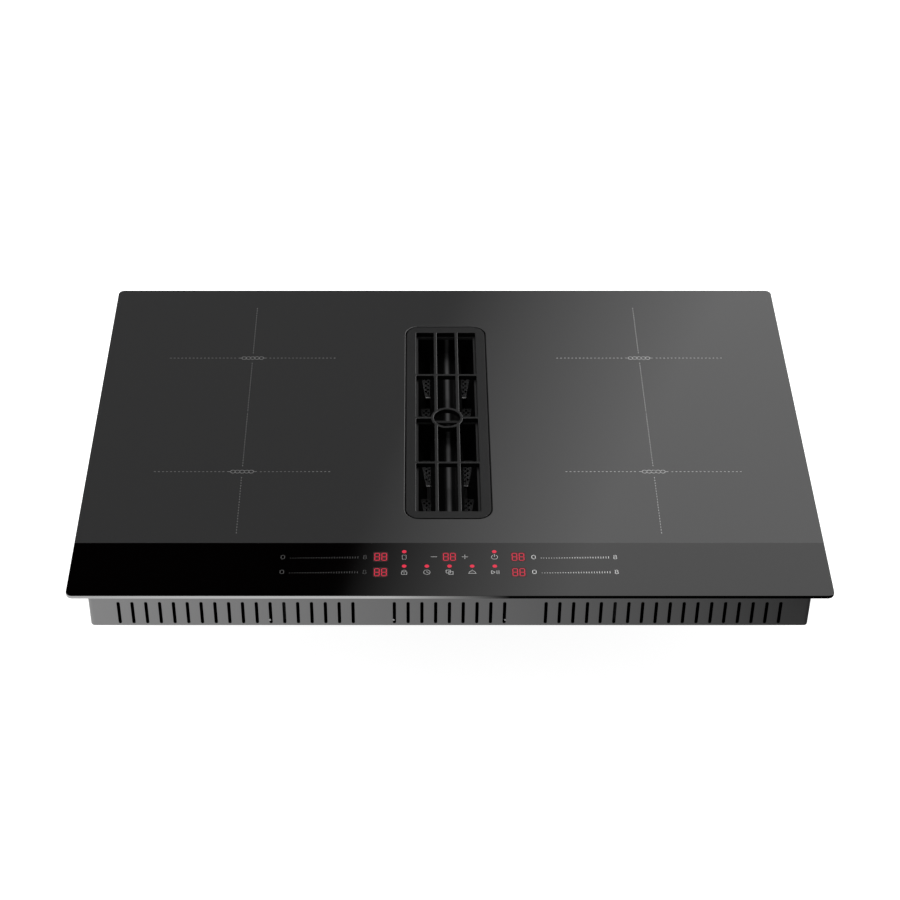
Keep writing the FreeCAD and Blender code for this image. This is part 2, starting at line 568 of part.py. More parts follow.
# ---- plenum box below the casing, with the blower's bell mouth and the drip tray's rails ----
plenum_outer = block("PlenumOuter", "0", plenum_mid, plenum_low, "plenum_wide", plenum_deep, "plenum_high")
plenum_flange = block("PlenumFlange", "0", plenum_mid, casing_low + " - plastic_wall",
                      "plenum_wide + 2 * plenum_flange", plenum_deep + " + 2", "plastic_wall")
plenum_inner = block("PlenumInner", "0", plenum_mid, plenum_low + " + plastic_wall",
                     "plenum_wide - 2 * plastic_wall", plenum_deep + " - 2 * plastic_wall", "plenum_high + 5")
bell_inner, bell_outer = size("bell_radius"), size("bell_radius") + size("plastic_wall")
bell_low = number(plenum_low) - size("bell_drop")
bell = [made("BellArc%d" % i, arc) for i, arc in
        enumerate(ring_arcs(bell_inner, bell_outer, bell_low, size("bell_drop"), int(size("ring_arcs"))))]
bell_hole = drum("BellHole", "0", "blower_y", plenum_low + " - bell_drop - 1", "bell_radius", "bell_drop + 10")
tray_mouth_deep = "(tray_mouth_back - tray_mouth_front)"
tray_mid = "((tray_mouth_back + tray_mouth_front) / 2)"
tray_hole = block("TrayMouth", "0", tray_mid, plenum_low + " - 1", "tray_mouth_wide - 2 * tray_flange",
                  tray_mouth_deep + " - 6", "plastic_wall + 2")
rail_drop = "(tray_wall + 2 * tray_clear)"
rails = []
for side in ("-1", "1"):
    rails.append(block("RailWall" + side, side + " * (tray_mouth_wide / 2 + tray_clear + rail_thick / 2)", tray_mid,
                       plenum_low + " - %s - rail_thick" % rail_drop, "rail_thick", tray_mouth_deep,
                       rail_drop + " + rail_thick + 1"))
    rails.append(block("RailLedge" + side,
                       side + " * (tray_mouth_wide / 2 + tray_clear + rail_thick / 2 - 3)", tray_mid,
                       plenum_low + " - %s - rail_thick" % rail_drop, "6", tray_mouth_deep, "rail_thick"))
plenum_solid = fuse("PlenumSolid", [plenum_outer, plenum_flange] + rails)
flange_holes = []
for i, (cx, cy) in enumerate(plenum_spots):
    flange_holes.append(drum("FlangeHole%d" % i, cx, cy, casing_low + " - plastic_wall - 1",
                             "screw_radius + screw_fit", "plastic_wall + 2"))
plenum_body = cut("Plenum", plenum_solid, [plenum_inner, bell_hole, tray_hole] + flange_holes)
subpart(group("PlenumAndBell", [plenum_body] + bell), "plenum_box")

tray_top = "(%s - tray_clear)" % plenum_low
tray_rim = block("TrayRim", "0", tray_mid, tray_top + " - tray_wall", "tray_mouth_wide", tray_mouth_deep, "tray_wall")
tray_cup = block("TrayCup", "0", tray_mid, tray_top + " - tray_deep", "tray_mouth_wide - 2 * tray_flange",
                 tray_mouth_deep + " - 4", "tray_deep")
tray_hollow = block("TrayHollow", "0", tray_mid, tray_top + " - tray_deep + tray_wall",
                    "tray_mouth_wide - 2 * tray_flange - 2 * tray_wall", tray_mouth_deep + " - 4 - 2 * tray_wall",
                    "tray_deep")
tray_grip = block("TrayGrip", "0", "tray_mouth_front - 5", tray_top + " - tray_wall", "50", "12", "tray_wall")
tray_body = fuse("TrayBody", [tray_rim, rounded("TrayCupRound", tray_cup, 5), tray_grip])
subpart(cut("Tray", tray_body, [rounded("TrayHollowRound", tray_hollow, 3)]), "drip_tray")


# ---- blower: spiral housing, impeller on its shaft, motor inside the hub ----
def spiral(offset):
    """The scroll's outline, with its outlet open to +Y; offset moves it outwards, into the tongue's wedge."""
    cy, start, end = size("blower_y"), size("scroll_start"), size("scroll_end")
    first = size("tongue_angle")
    begin = first + (size("tongue_turn") if offset else 0)
    steps = 26
    points = []
    for i in range(steps + 1):
        degrees = begin + (360 - begin) * i / steps
        radius = start + (end - start) * (degrees - first) / (360 - first) + offset
        angle = math.radians(degrees)
        points.append(Vector(radius * math.cos(angle), cy + radius * math.sin(angle), 0))
    back = size("plenum_back")
    left = end + size("plastic_wall") - size("outlet_wide") - 2 * size("outlet_wall")
    if not offset:
        left += size("throat_step")
    curve = Part.BSplineCurve()
    curve.interpolate(points)
    tip = points[0]
    right = Vector(end + offset, back, 0)
    corner = Vector(left, back, 0)
    edges = [curve.toShape(), Part.makeLine(points[-1], right), Part.makeLine(right, corner),
             Part.makeLine(corner, tip)]
    return Part.Face(Part.Wire(edges))


scroll_z = number(scroll_low)
high = size("scroll_high")
wall = size("plastic_wall")
scroll_solid = spiral(wall).extrude(Vector(0, 0, high))
scroll_hollow = spiral(0).extrude(Vector(0, 0, high))
scroll_hollow.translate(Vector(0, 0, wall))
scroll_shape = scroll_solid.cut(scroll_hollow)
scroll_shape.translate(Vector(0, 0, scroll_z))
subpart(made("Scroll", scroll_shape), "blower_scroll")
lid = spiral(wall).extrude(Vector(0, 0, wall))
lid.translate(Vector(0, 0, number(lid_low)))
eye_hole = Part.makeCylinder(size("bell_radius") + wall + 0.3, 20, Vector(0, size("blower_y"), number(lid_low) - 5))
subpart(made("ScrollLid", lid.cut(eye_hole)), "blower_lid")

motor_floor = "(%s + plastic_wall)" % scroll_low
motor_parts = [drum("MotorPlate", "0", "blower_y", motor_floor, "motor_radius + motor_rim", "motor_plate"),
               drum("MotorStator", "0", "blower_y", motor_floor, "motor_radius", "motor_high"),
               drum("MotorNeck", "0", "blower_y", motor_floor, "neck_radius", "neck_high")]
motor_bore = drum("MotorBore", "0", "blower_y", motor_floor + " + 2", "shaft_radius + shaft_fit", "neck_high + 5")
subpart(cut("Motor", fuse("MotorSolid", motor_parts), [motor_bore]), "blower_motor")
subpart(drum("Shaft", "0", "blower_y", motor_floor + " + motor_plate", "shaft_radius", "shaft_long"), "impeller_shaft")

wheel_low = "(%s + hub_top - hub_high)" % motor_floor
hub_solid = [drum("HubCup", "0", "blower_y", wheel_low, "hub_radius", "hub_high"),
             drum("BackPlate", "0", "blower_y", wheel_low, "impeller_radius", "wheel_plate")]
hub_hollow = [drum("HubHollow", "0", "blower_y", wheel_low + " - 1", "hub_radius - hub_wall", "hub_high + 1 - hub_wall"),
              drum("HubBore", "0", "blower_y", wheel_low, "shaft_radius + shaft_fit", "hub_high + 5")]
subpart(cut("ImpellerHub", fuse("HubSolid", hub_solid), hub_hollow), "blower_impeller")
blade_low = number(wheel_low) + size("wheel_plate")
ring_low = number(wheel_low) + size("wheel_high") - size("ring_thick")


def blade_shape(angle):
    """One backward-curved blade, a thin arc between the back plate and the front ring."""
    inner, outer, thick = size("hub_radius") + size("blade_gap"), size("impeller_radius") - 1, size("blade_thick")
    lean = math.radians(size("blade_lean"))
    rows = []
    for shift in (0, thick / inner):
        row = []
        for radius, share in ((inner, 0), ((inner + outer) / 2, 0.4), (outer, 1)):
            turn = lean * share + shift
            row.append(Vector(radius * math.cos(turn), radius * math.sin(turn), 0))
        rows.append(row)
    near = Part.Arc(*rows[0]).toShape()
    far = Part.Arc(*reversed(rows[1])).toShape()
    edges = [near, Part.makeLine(rows[0][2], rows[1][2]), far, Part.makeLine(rows[1][0], rows[0][0])]
    solid = Part.Face(Part.Wire(edges)).extrude(Vector(0, 0, ring_low - blade_low))
    solid.rotate(Vector(), Vector(0, 0, 1), angle)
    solid.translate(Vector(0, size("blower_y"), blade_low))
    return solid


count = int(size("blade_count"))
cage = [blade_shape(360.0 * i / count) for i in range(count)]
cage += ring_arcs(size("impeller_eye"), size("impeller_radius"), ring_low, size("ring_thick"), count)
subpart(made("ImpellerCage", Part.makeCompound(cage)), "impeller_cage")


# ---- outlet spigot and the two louvre flaps that stop cold air coming back ----
outlet_x = "(scroll_end + plastic_wall - outlet_wide / 2 - outlet_wall)"
outlet_z = "(%s + (scroll_high - outlet_high) / 2)" % scroll_low
spigot_outer = block("SpigotOuter", outlet_x, "plenum_back + outlet_long / 2", outlet_z, "outlet_wide",
                     "outlet_long", "outlet_high")
spigot_flange = block("SpigotFlange", outlet_x, "plenum_back + outlet_wall / 2", scroll_low,
                      "outlet_wide + 2 * outlet_wall", "outlet_wall", "scroll_high")
spigot_inner = block("SpigotInner", outlet_x, "plenum_back + outlet_long / 2", outlet_z + " + outlet_wall",
                     "outlet_wide - 2 * outlet_wall", "outlet_long + 2", "outlet_high - 2 * outlet_wall")
flap_high = "((outlet_high - 2 * outlet_wall) / 2)"
flap_y = "(plenum_back + 5)"
flap_names = ("lower", "upper")
pin_holes = []
for i, name in enumerate(flap_names):
    pin_level = "(%s + outlet_wall + %d * %s - 4)" % (outlet_z, i + 1, flap_high)
    pin_holes.append(drum("FlapHole" + name, "%s - outlet_wide / 2 - 1" % outlet_x, flap_y, pin_level,
                          "flap_pin + shaft_fit", "outlet_wide + 2", "x"))
    blade = block("FlapBlade" + name, outlet_x, flap_y, "%s - %s + 5.5" % (pin_level, flap_high),
                  "outlet_wide - 2 * outlet_wall - 2 * flap_side_gap", "flap_thick", flap_high + " - 5.5")
    pin = drum("FlapPin" + name, "%s - outlet_wide / 2 + 0.4" % outlet_x, flap_y, pin_level, "flap_pin",
               "outlet_wide - 0.8", "x")
    subpart(fuse("Flap" + name, [blade, pin]), "flap_" + name)
subpart(cut("Spigot", fuse("SpigotSolid", [spigot_outer, spigot_flange]), [spigot_inner] + pin_holes), "duct_spigot")


# ---- cooking zones: mica, coil, carrier, ferrites, sensor and cushions, above the coil plates ----
def turned_bar(long, wide, thick, z0, start, angle):
    """A bar along a radius, from start outwards, turned about the Z axis."""
    bar = Part.makeBox(long, wide, thick, Vector(start, -wide / 2, z0))
    bar.rotate(Vector(), Vector(0, 0, 1), angle)
    return bar


micas, ferrites, sensors, cushions = [], [], [], []
for name, cx, cy in (("back_left", "-zone_x", "zone_back"), ("back_right", "zone_x", "zone_back"),
                     ("front_left", "-zone_x", "zone_front"), ("front_right", "zone_x", "zone_front")):
    coil_low = "(seal_thick - mica_thick - coil_thick)"
    ring = drum("Coil" + name, cx, cy, coil_low, "coil_outer", "coil_thick")
    eye = drum("CoilEye" + name, cx, cy, coil_low + " - 1", "coil_inner", "coil_thick + 2")
    subpart(cut("Winding" + name, ring, [eye]), "coil_" + name)
    carrier_low = "(%s - carrier_thick)" % coil_low
    x0, y0, z0 = number(cx), number(cy), number(carrier_low)
    thick = size("carrier_thick")
    disc = Part.makeCylinder(size("carrier_outer"), thick, Vector(0, 0, z0))
    window = Part.makeCylinder(size("carrier_outer") - size("carrier_rim"), thick, Vector(0, 0, z0))
    hub_disc = Part.makeCylinder(size("coil_inner") + 3, thick, Vector(0, 0, z0))
    spoke_count = int(size("ferrite_count"))
    spokes = [hub_disc]
    for i in range(spoke_count // 2):
        spokes.append(turned_bar(2 * size("carrier_outer") - size("carrier_rim"), size("spoke_wide"), thick, z0,
                                 -size("carrier_outer") + size("carrier_rim") / 2, 360.0 * i / spoke_count))
    carrier = disc.cut(window).multiFuse(spokes)
    carrier = carrier.cut(Part.makeCylinder(size("sensor_radius") + 0.3, thick, Vector(0, 0, z0)))
    carrier.translate(Vector(x0, y0, 0))
    subpart(made("Carrier" + name, carrier.removeSplitter()), "coil_carrier_" + name)
    for i in range(spoke_count):
        bar = turned_bar(size("ferrite_long"), size("ferrite_wide"), size("ferrite_thick"), number(ferrite_low),
                         size("coil_inner") + 6, 360.0 * i / spoke_count)
        bar.translate(Vector(x0, y0, 0))
        ferrites.append(bar)
    mica_level = "(seal_thick - mica_thick)"
    mica_disc = drum("MicaDisc" + name, cx, cy, mica_level, "carrier_outer", "mica_thick")
    micas.append(cut("Mica" + name, mica_disc, [drum("MicaEye" + name, cx, cy, mica_level + " - 1",
                                                     "sensor_radius + 1", "mica_thick + 2")]))
    stem = drum("SensorStem" + name, cx, cy, carrier_low, "sensor_radius", "seal_thick - " + carrier_low)
    foot = drum("SensorFoot" + name, cx, cy, carrier_low + " - 2", "sensor_radius + 4", "2")
    sensors.append(fuse("Sensor" + name, [stem, foot]))
    for i in range(3):
        angle = math.radians(22.5 + 120 * i + (0 if i != 1 else 15) - (15 if i == 2 else 0))
        reach_r = size("carrier_outer") - 5.5
        cushions.append(drum("Cushion%s%d" % (name, i), "%s + %.4f" % (cx, reach_r * math.cos(angle)),
                             "%s + %.4f" % (cy, reach_r * math.sin(angle)), plate_level + " + coil_plate_thick",
                             "cushion_radius", "coil_plate_drop"))
subpart(group("MicaDiscs", micas), "mica_discs")
subpart(made("Ferrites", Part.makeCompound(ferrites)), "ferrite_bars")
subpart(group("Sensors", sensors), "zone_sensors")
subpart(group("Cushions", cushions), "coil_cushions")

for side_name, sign in (("left", "-1"), ("right", "1")):
    mid_x = sign + " * zone_x"
    mid_y = "(zone_back + zone_front) / 2"
    plate_parts = [block("CoilPlate" + side_name, mid_x, mid_y, plate_level, "coil_plate_wide", "coil_plate_deep",
                         "coil_plate_thick")]
    for i, along in enumerate((-0.42, 0, 0.42)):
        for j, across in enumerate((-1, 1)):
            plate_parts.append(block("PlateLeg%s%d%d" % (side_name, i, j),
                                     "%s + %d * (coil_plate_wide - coil_plate_thick) / 2" % (mid_x, across),
                                     "%s + %s * coil_plate_deep" % (mid_y, along), floor_in, "coil_plate_thick",
                                     "leg_wide", plate_level + " - " + floor_in))
    subpart(fuse("CoilPlateBent" + side_name, plate_parts), "coil_plate_" + side_name)


# ---- power boards, heat sinks, components and stand-offs ----
standoffs = []
for side_name, sign in (("left", "-1"), ("right", "1")):
    board_mid = sign + " * board_x"
    subpart(block("Board" + side_name, board_mid, "board_y", board_top + " - board_thick", "board_wide",
                  "board_deep", "board_thick"), "power_board_" + side_name)
    for i, (sx, sy) in enumerate(((-1, -1), (1, -1), (-1, 1), (1, 1))):
        standoffs.append(drum("Standoff%s%d" % (side_name, i), "%s + %d * (board_wide / 2 - 8)" % (board_mid, sx),
                              "board_y + %d * (board_deep / 2 - 8)" % sy, floor_in, "standoff_radius",
                              "standoff_high"))
    sink_mid = sign + " * sink_x"
    sink = [block("SinkBase" + side_name, sink_mid, "sink_y", board_top, "sink_wide", "sink_deep", "sink_base")]
    for i in range(int(size("fin_count"))):
        step = "(sink_wide - fin_thick) / (fin_count - 1)"
        sink.append(block("Fin%s%d" % (side_name, i), "%s - (sink_wide - fin_thick) / 2 + %d * %s" % (sink_mid, i, step),
                          "sink_y", board_top, "fin_thick", "sink_deep", "sink_high"))
    subpart(fuse("Sink" + side_name, sink), "heatsink_" + side_name)
    loads = []
    for i in range(3):
        loads.append(block("FilmCap%s%d" % (side_name, i), sign + " * (board_x - 52)", "board_y + 30 + %d * 36" % i,
                           board_top, "34", "20", "23"))
        loads.append(drum("Electrolytic%s%d" % (side_name, i), sign + " * (board_x - 8)",
                          "board_y + 20 + %d * 24" % i, board_top, "9", "24"))
    for i in range(2):
        ring = drum("Choke%s%d" % (side_name, i), sign + " * (board_x - 50 + %d * 46)" % i, "board_y - 32",
                    board_top, "17", "13")
        eye = drum("ChokeEye%s%d" % (side_name, i), sign + " * (board_x - 50 + %d * 46)" % i, "board_y - 32",
                   board_top + " - 1", "8", "15")
        loads.append(cut("ChokeRing%s%d" % (side_name, i), ring, [eye]))
    loads.append(block("Transformer" + side_name, sign + " * (board_x - 40)", "board_y - 86", board_top, "36",
                       "32", "24"))
    for i in range(3):
        loads.append(block("Relay%s%d" % (side_name, i), sign + " * (board_x + 16 + %d * 26)" % i, "board_y - 96",
                           board_top, "18", "28", "16"))
    subpart(group("Parts" + side_name, loads), "power_parts_" + side_name)
subpart(group("Standoffs", standoffs), "board_standoffs")


# ---- cooling fans: square frame with four spokes and a pin, and a bladed rotor ----
def rotor_blade(angle, x0, y0, z0):
    """A twisted fan blade, lofted between a steep root and a flatter tip."""
    wires = []
    for radius, half, rise in ((size("fan_hub") - 1, 7.0, 7.5), (size("fan_rotor"), 12.0, 4.0)):
        points = [Vector(radius, -half, 0), Vector(radius, half, 2 * rise), Vector(radius, half, 2 * rise + 1.4),
                  Vector(radius, -half, 1.4)]
        wires.append(Part.makePolygon(points + points[:1]))
    solid = Part.makeLoft(wires, True, True)
    solid.rotate(Vector(), Vector(0, 0, 1), angle)
    solid.translate(Vector(x0, y0, z0))
    return solid


for side_name, sign in (("left", "-1"), ("right", "1")):
    fan_mid = sign + " * fan_x"
    frame = block("FanBlock" + side_name, fan_mid, "fan_y", floor_in, "fan_side", "fan_side", "fan_high")
    fan_hole = drum("FanBore" + side_name, fan_mid, "fan_y", floor_in + " - 1", "fan_bore", "fan_high + 2")
    shell = cut("FanShell" + side_name, rounded("FanRound" + side_name, frame, 5), [fan_hole])
    spoke_a = block("FanSpokeA" + side_name, fan_mid, "fan_y", floor_in, "2 * fan_bore + 2", "4", "2.5")
    spoke_b = block("FanSpokeB" + side_name, fan_mid, "fan_y", floor_in, "4", "2 * fan_bore + 2", "2.5")
    seat_disc = drum("FanSeat" + side_name, fan_mid, "fan_y", floor_in, "fan_hub - 1", "2.5")
    pin = drum("FanPin" + side_name, fan_mid, "fan_y", floor_in, "fan_pin", "fan_high - 4")
    subpart(fuse("FanFrame" + side_name, [shell, spoke_a, spoke_b, seat_disc, pin]), "fan_frame_" + side_name)
    hub = drum("RotorHub" + side_name, fan_mid, "fan_y", floor_in + " + 3", "fan_hub", "fan_high - 5")
    rotor_bore = drum("RotorBore" + side_name, fan_mid, "fan_y", floor_in + " + 2", "fan_pin + shaft_fit",
                      "fan_high - 5.5")
    rotor = cut("RotorCup" + side_name, hub, [rotor_bore])
    doc.recompute()
    x0, y0, z0 = number(fan_mid), size("fan_y"), number(floor_in) + 4
    fan_blades = [rotor_blade(360.0 * i / size("fan_blades"), x0, y0, z0) for i in range(int(size("fan_blades")))]
    keep = Part.makeCylinder(size("fan_rotor"), size("fan_high") - 5, Vector(x0, y0, z0 - 1))
    fan_blades = [b.common(keep) for b in fan_blades]
    subpart(made("Rotor" + side_name, rotor.Shape.multiFuse(fan_blades)), "fan_rotor_" + side_name)


# ---- touch controls: holder, board, displays and contact springs below the front strip ----
touch_low = "(seal_thick - touch_drop - board_thick)"
subpart(block("TouchBoard", "0", "touch_y", touch_low, "touch_wide", "touch_deep", "board_thick"), "touch_board")
holder_plate = block("HolderPlate", "0", "touch_y", touch_low + " - 2", "touch_wide + 8", "touch_deep + 4", "2")
holder_parts = [holder_plate]
for i, (sx, sy) in enumerate(((-1, -1), (1, -1), (-1, 1), (1, 1))):
    holder_parts.append(block("HolderLeg%d" % i, "%d * (touch_wide / 2 - 20)" % sx,
                              "touch_y + %d * (touch_deep / 2 - 6)" % sy, floor_in, "8", "8",
                              "%s - 2 - %s" % (touch_low, floor_in)))
subpart(fuse("Holder", holder_parts), "touch_holder")
displays = []
for i, (cx, cy) in enumerate((("-display_x", "row_back"), ("-display_x", "row_front"), ("0", "row_back"),
                              ("display_x", "row_back"), ("display_x", "row_front"))):
    displays.append(block("Display%d" % i, cx, cy, touch_low + " + board_thick", "display_wide", "display_deep",
                          "touch_drop - 0.3"))
subpart(group("Displays", displays), "display_modules")
springs = []
spring_spots = [("%d * key_pitch" % i, "row_front") for i in range(-2, 3)]
spring_spots += [("%d * key_pitch" % i, "row_back") for i in (-2, 2)]
spring_spots += [("%d * 16" % i, "row_back") for i in (-1, 1)]
for start in ("-slider_end", "slider_start"):
    for i in range(int(size("slider_keys"))):
        for row_y in ("row_back", "row_front"):
            step = "(slider_end - slider_start) / (slider_keys - 1)"
            spring_spots.append(("%s + %d * %s" % (start, i, step), row_y))
for i, (cx, cy) in enumerate(spring_spots):
    springs.append(drum("TouchSpring%d" % i, cx, cy, touch_low + " + board_thick", "3.2", "touch_drop"))
subpart(group("TouchSprings", springs), "touch_springs")


# ---- mains connection below the casing: box, block, hinged cover and cable gland ----
box_low = "(%s - terminal_high)" % casing_low
box_roof = block("TerminalRoof", "terminal_x", "terminal_y", casing_low + " - plastic_wall", "terminal_wide",
                 "terminal_deep", "plastic_wall")
wall_high = "terminal_high - plastic_wall"
box_walls = []
for tag, sign in (("Front", "-1"), ("Back", "1")):
    box_walls.append(block("TerminalWall" + tag, "terminal_x",
                           "terminal_y + %s * (terminal_deep - plastic_wall) / 2" % sign, box_low,
                           "terminal_wide", "plastic_wall", wall_high))
for tag, sign in (("Left", "-1"), ("Right", "1")):
    box_walls.append(block("TerminalWall" + tag, "terminal_x + %s * (terminal_wide - plastic_wall) / 2" % sign,
                           "terminal_y", box_low, "plastic_wall", "terminal_deep - 2 * plastic_wall", wall_high))
front_wall, back_wall, left_wall, right_wall = box_walls
gland_z = "(%s - terminal_high / 2)" % casing_low
gland_start = "(terminal_y + terminal_deep / 2 - plastic_wall)"
gland_hole = drum("GlandHole", "terminal_x", gland_start + " - 1", gland_z, "gland_outer - 2", "2 * plastic_wall", "y")
hinge_y = "(terminal_y - terminal_deep / 2 - hinge_radius - 1)"
hinge_z = "(%s + hinge_radius)" % box_low
ears = []
for i, sign in enumerate(("-1", "1")):
    ears.append(block("HingeEar%d" % i, "terminal_x + %s * 30" % sign, "terminal_y - terminal_deep / 2 - 2.5",
                      box_low, "6", "7", "8"))
hinge_pin = drum("HingePin", "terminal_x - 32", hinge_y, hinge_z, "hinge_radius - 0.6", "64", "x")
wire_hole = drum("WireHole", wire_spot[0], wire_spot[1], casing_low + " - 2 * plastic_wall", "wire_radius",
                 "3 * plastic_wall")
subpart(group("TerminalBox", [
    cut("TerminalRoofHole", rounded("TerminalRoofRound", box_roof, size("box_corner")), [wire_hole]),
    fuse("TerminalHinge", [rounded("TerminalFrontRound", front_wall, size("box_corner")), hinge_pin] + ears),
    cut("TerminalGlandHole", rounded("TerminalBackRound", back_wall, size("box_corner")), [gland_hole]),
    left_wall, right_wall]), "terminal_box")
gland_tube = fuse("GlandTube", [
    drum("GlandBody", "terminal_x", gland_start + " - 3", gland_z, "gland_outer - 2.05", "16", "y"),
    drum("GlandNut", "terminal_x", gland_start + " + plastic_wall", gland_z, "gland_outer + 1", "7", "y")])
gland_bore = drum("GlandBore", "terminal_x", gland_start + " - 4", gland_z, "gland_radius", "20", "y")
subpart(cut("Gland", gland_tube, [gland_bore]), "cable_gland")
block_parts = [block("TerminalStrip", "terminal_x", "terminal_y - 6", casing_low + " - plastic_wall - 15", "64", "20", "15")]
for i in range(5):
    block_parts.append(drum("TerminalScrew%d" % i, "terminal_x + %d * 11.5" % (i - 2), "terminal_y - 6",
                            casing_low + " - plastic_wall - 17", "2.6", "3"))
subpart(fuse("TerminalBlock", block_parts), "terminal_block")
cover_plate = block("CoverPlate", "terminal_x", "terminal_y", box_low + " - 0.3 - cover_thick", "terminal_wide",
                    "terminal_deep", "cover_thick")
knuckle = drum("CoverKnuckle", "terminal_x - 26", hinge_y, hinge_z, "hinge_radius + 0.8", "52", "x")
web = block("CoverWeb", "terminal_x", "%s + 0.2" % hinge_y, box_low + " - 0.3 - cover_thick", "52", "3.2",
            "cover_thick + 1.5")
web_plate = block("CoverTongue", "terminal_x", "terminal_y - terminal_deep / 2 - 1", box_low + " - 0.3 - cover_thick",
                  "52", "6.5", "cover_thick")
knuckle_bore = drum("CoverBore", "terminal_x - 27", hinge_y, hinge_z, "hinge_radius - 0.55", "54", "x")
subpart(cut("Cover", fuse("CoverSolid", [rounded("CoverRound", cover_plate, 4), knuckle, web, web_plate]),
            [knuckle_bore]), "terminal_cover")


# ---- worktop clamps that swing out from under the casing, and the M4 screws ----
screws = []


def screw(tag, cx, cy, head_level, stem_long):
    """An M4 screw that points up, its head below head_level."""
    stem = drum("ScrewStem" + tag, cx, cy, head_level, "screw_radius", stem_long)
    head = drum("ScrewHead" + tag, cx, cy, "%s - screw_head_high" % head_level, "screw_head", "screw_head_high")
    screws.append(fuse("Screw" + tag, [stem, head]))


clamp_low = "(%s - clamp_thick - clamp_play)" % casing_low
for i, (name, (cx, cy)) in enumerate(zip(("front_left", "front_right", "back_left", "back_right"), clamp_spots)):
    side = cx.split("clamp_x")[0]
    arm = block("ClampArm" + name, "%s(clamp_x - clamp_long / 2 + clamp_wide / 2)" % side, cy, clamp_low,
                "clamp_long", "clamp_wide", "clamp_thick")
    toe = block("ClampToe" + name, "%s(clamp_x - clamp_long + clamp_wide / 2 + clamp_thick / 2)" % side, cy,
                clamp_low + " - clamp_tab", "clamp_thick", "clamp_wide - 4", "clamp_tab + clamp_thick")
    eye = drum("ClampEye" + name, cx, cy, clamp_low + " - 1", "screw_radius + screw_fit", "clamp_thick + 2")
    arm_round = rounded("ClampArmRound" + name, arm, 5)
    subpart(cut("Clamp" + name, fuse("ClampSolid" + name, [arm_round, toe]), [eye]), "clamp_" + name)
    screw("Clamp" + name, cx, cy, clamp_low + " - clamp_play", "clamp_thick + 2 * clamp_play + sheet_metal + 2")
for i, (cx, cy) in enumerate(plenum_spots):
    screw("Plenum%d" % i, cx, cy, casing_low + " - plastic_wall", "plastic_wall + sheet_metal + 2")
subpart(group("Screws", screws), "machine_screws")

doc.recompute()
os.makedirs("parts", exist_ok=True)
faults = []
for obj in doc.Objects:
    if "Invalid" in obj.State or "Error" in obj.State:
        faults.append("%s %s" % (obj.Name, obj.State))
for obj in subparts:
    if obj.Shape.isNull() or not obj.Shape.isValid() or obj.Shape.Volume <= 0:
        faults.append("%s has no sound shape" % obj.Label)
if faults:
    raise SystemExit("\n".join(faults))
for obj in subparts:
    box = obj.Shape.BoundBox
    print("%-24s %2d solids %10.0f mm3  x %.1f..%.1f y %.1f..%.1f z %.1f..%.1f" % (
        obj.Label, len(obj.Shape.Solids), obj.Shape.Volume, box.XMin, box.XMax, box.YMin, box.YMax, box.ZMin, box.ZMax))
    obj.Shape.exportStep("parts/%s.step" % obj.Label)
print(len(subparts), "nodes")
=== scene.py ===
import bpy
import math
from mathutils import Matrix, Vector


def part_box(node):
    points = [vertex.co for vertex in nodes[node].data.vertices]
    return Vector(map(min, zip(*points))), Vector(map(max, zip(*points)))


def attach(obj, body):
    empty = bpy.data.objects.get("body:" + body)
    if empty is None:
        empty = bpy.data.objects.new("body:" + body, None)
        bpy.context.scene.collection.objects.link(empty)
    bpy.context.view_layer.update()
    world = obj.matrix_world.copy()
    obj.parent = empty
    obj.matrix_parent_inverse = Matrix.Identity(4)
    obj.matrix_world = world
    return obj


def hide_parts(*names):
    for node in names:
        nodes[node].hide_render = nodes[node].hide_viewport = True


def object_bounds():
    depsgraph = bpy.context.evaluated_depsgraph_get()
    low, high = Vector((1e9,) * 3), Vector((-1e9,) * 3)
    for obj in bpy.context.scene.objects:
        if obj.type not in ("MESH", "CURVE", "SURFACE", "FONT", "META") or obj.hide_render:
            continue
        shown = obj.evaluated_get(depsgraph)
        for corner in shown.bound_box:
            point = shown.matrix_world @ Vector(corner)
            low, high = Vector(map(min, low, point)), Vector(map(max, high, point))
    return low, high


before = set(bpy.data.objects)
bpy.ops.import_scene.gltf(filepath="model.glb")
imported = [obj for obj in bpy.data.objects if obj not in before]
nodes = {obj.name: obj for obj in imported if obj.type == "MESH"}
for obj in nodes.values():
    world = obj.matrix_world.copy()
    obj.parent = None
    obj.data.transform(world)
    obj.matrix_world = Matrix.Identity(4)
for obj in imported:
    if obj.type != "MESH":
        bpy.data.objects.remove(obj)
cadLow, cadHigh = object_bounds()
mm = 0.001

# the faces that most of the pieces below are set out from
glassLow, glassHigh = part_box("glass_top")
topZ = glassHigh.z / mm
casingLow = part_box("casing_tray")[0]


# small helpers for modelling
def clearPick():
    if bpy.context.object and bpy.context.object.mode != "OBJECT":
        bpy.ops.object.mode_set(mode="OBJECT")
    bpy.ops.object.select_all(action="DESELECT")


def makeActive(piece):
    clearPick()
    piece.select_set(True)
    bpy.context.view_layer.objects.active = piece


def settle(piece, name):
    piece.name = name
    piece.data.name = name
    bpy.ops.object.transform_apply(location=True, rotation=True, scale=True)
    return piece


def addBlock(name, low, high):
    clearPick()
    middle = [(a + b) / 2 * mm for a, b in zip(low, high)]
    span = [(b - a) * mm for a, b in zip(low, high)]
    bpy.ops.mesh.primitive_cube_add(size=1, location=middle, scale=span)
    return settle(bpy.context.object, name)


def addDrum(name, middle, radius, high, sides=48, axis="Z"):
    clearPick()
    turns = {"Z": (0, 0, 0), "Y": (math.radians(90), 0, 0), "X": (0, math.radians(90), 0)}
    bpy.ops.mesh.primitive_cylinder_add(vertices=sides, radius=radius * mm, depth=high * mm,
                                        location=[c * mm for c in middle], rotation=turns[axis])
    return settle(bpy.context.object, name)


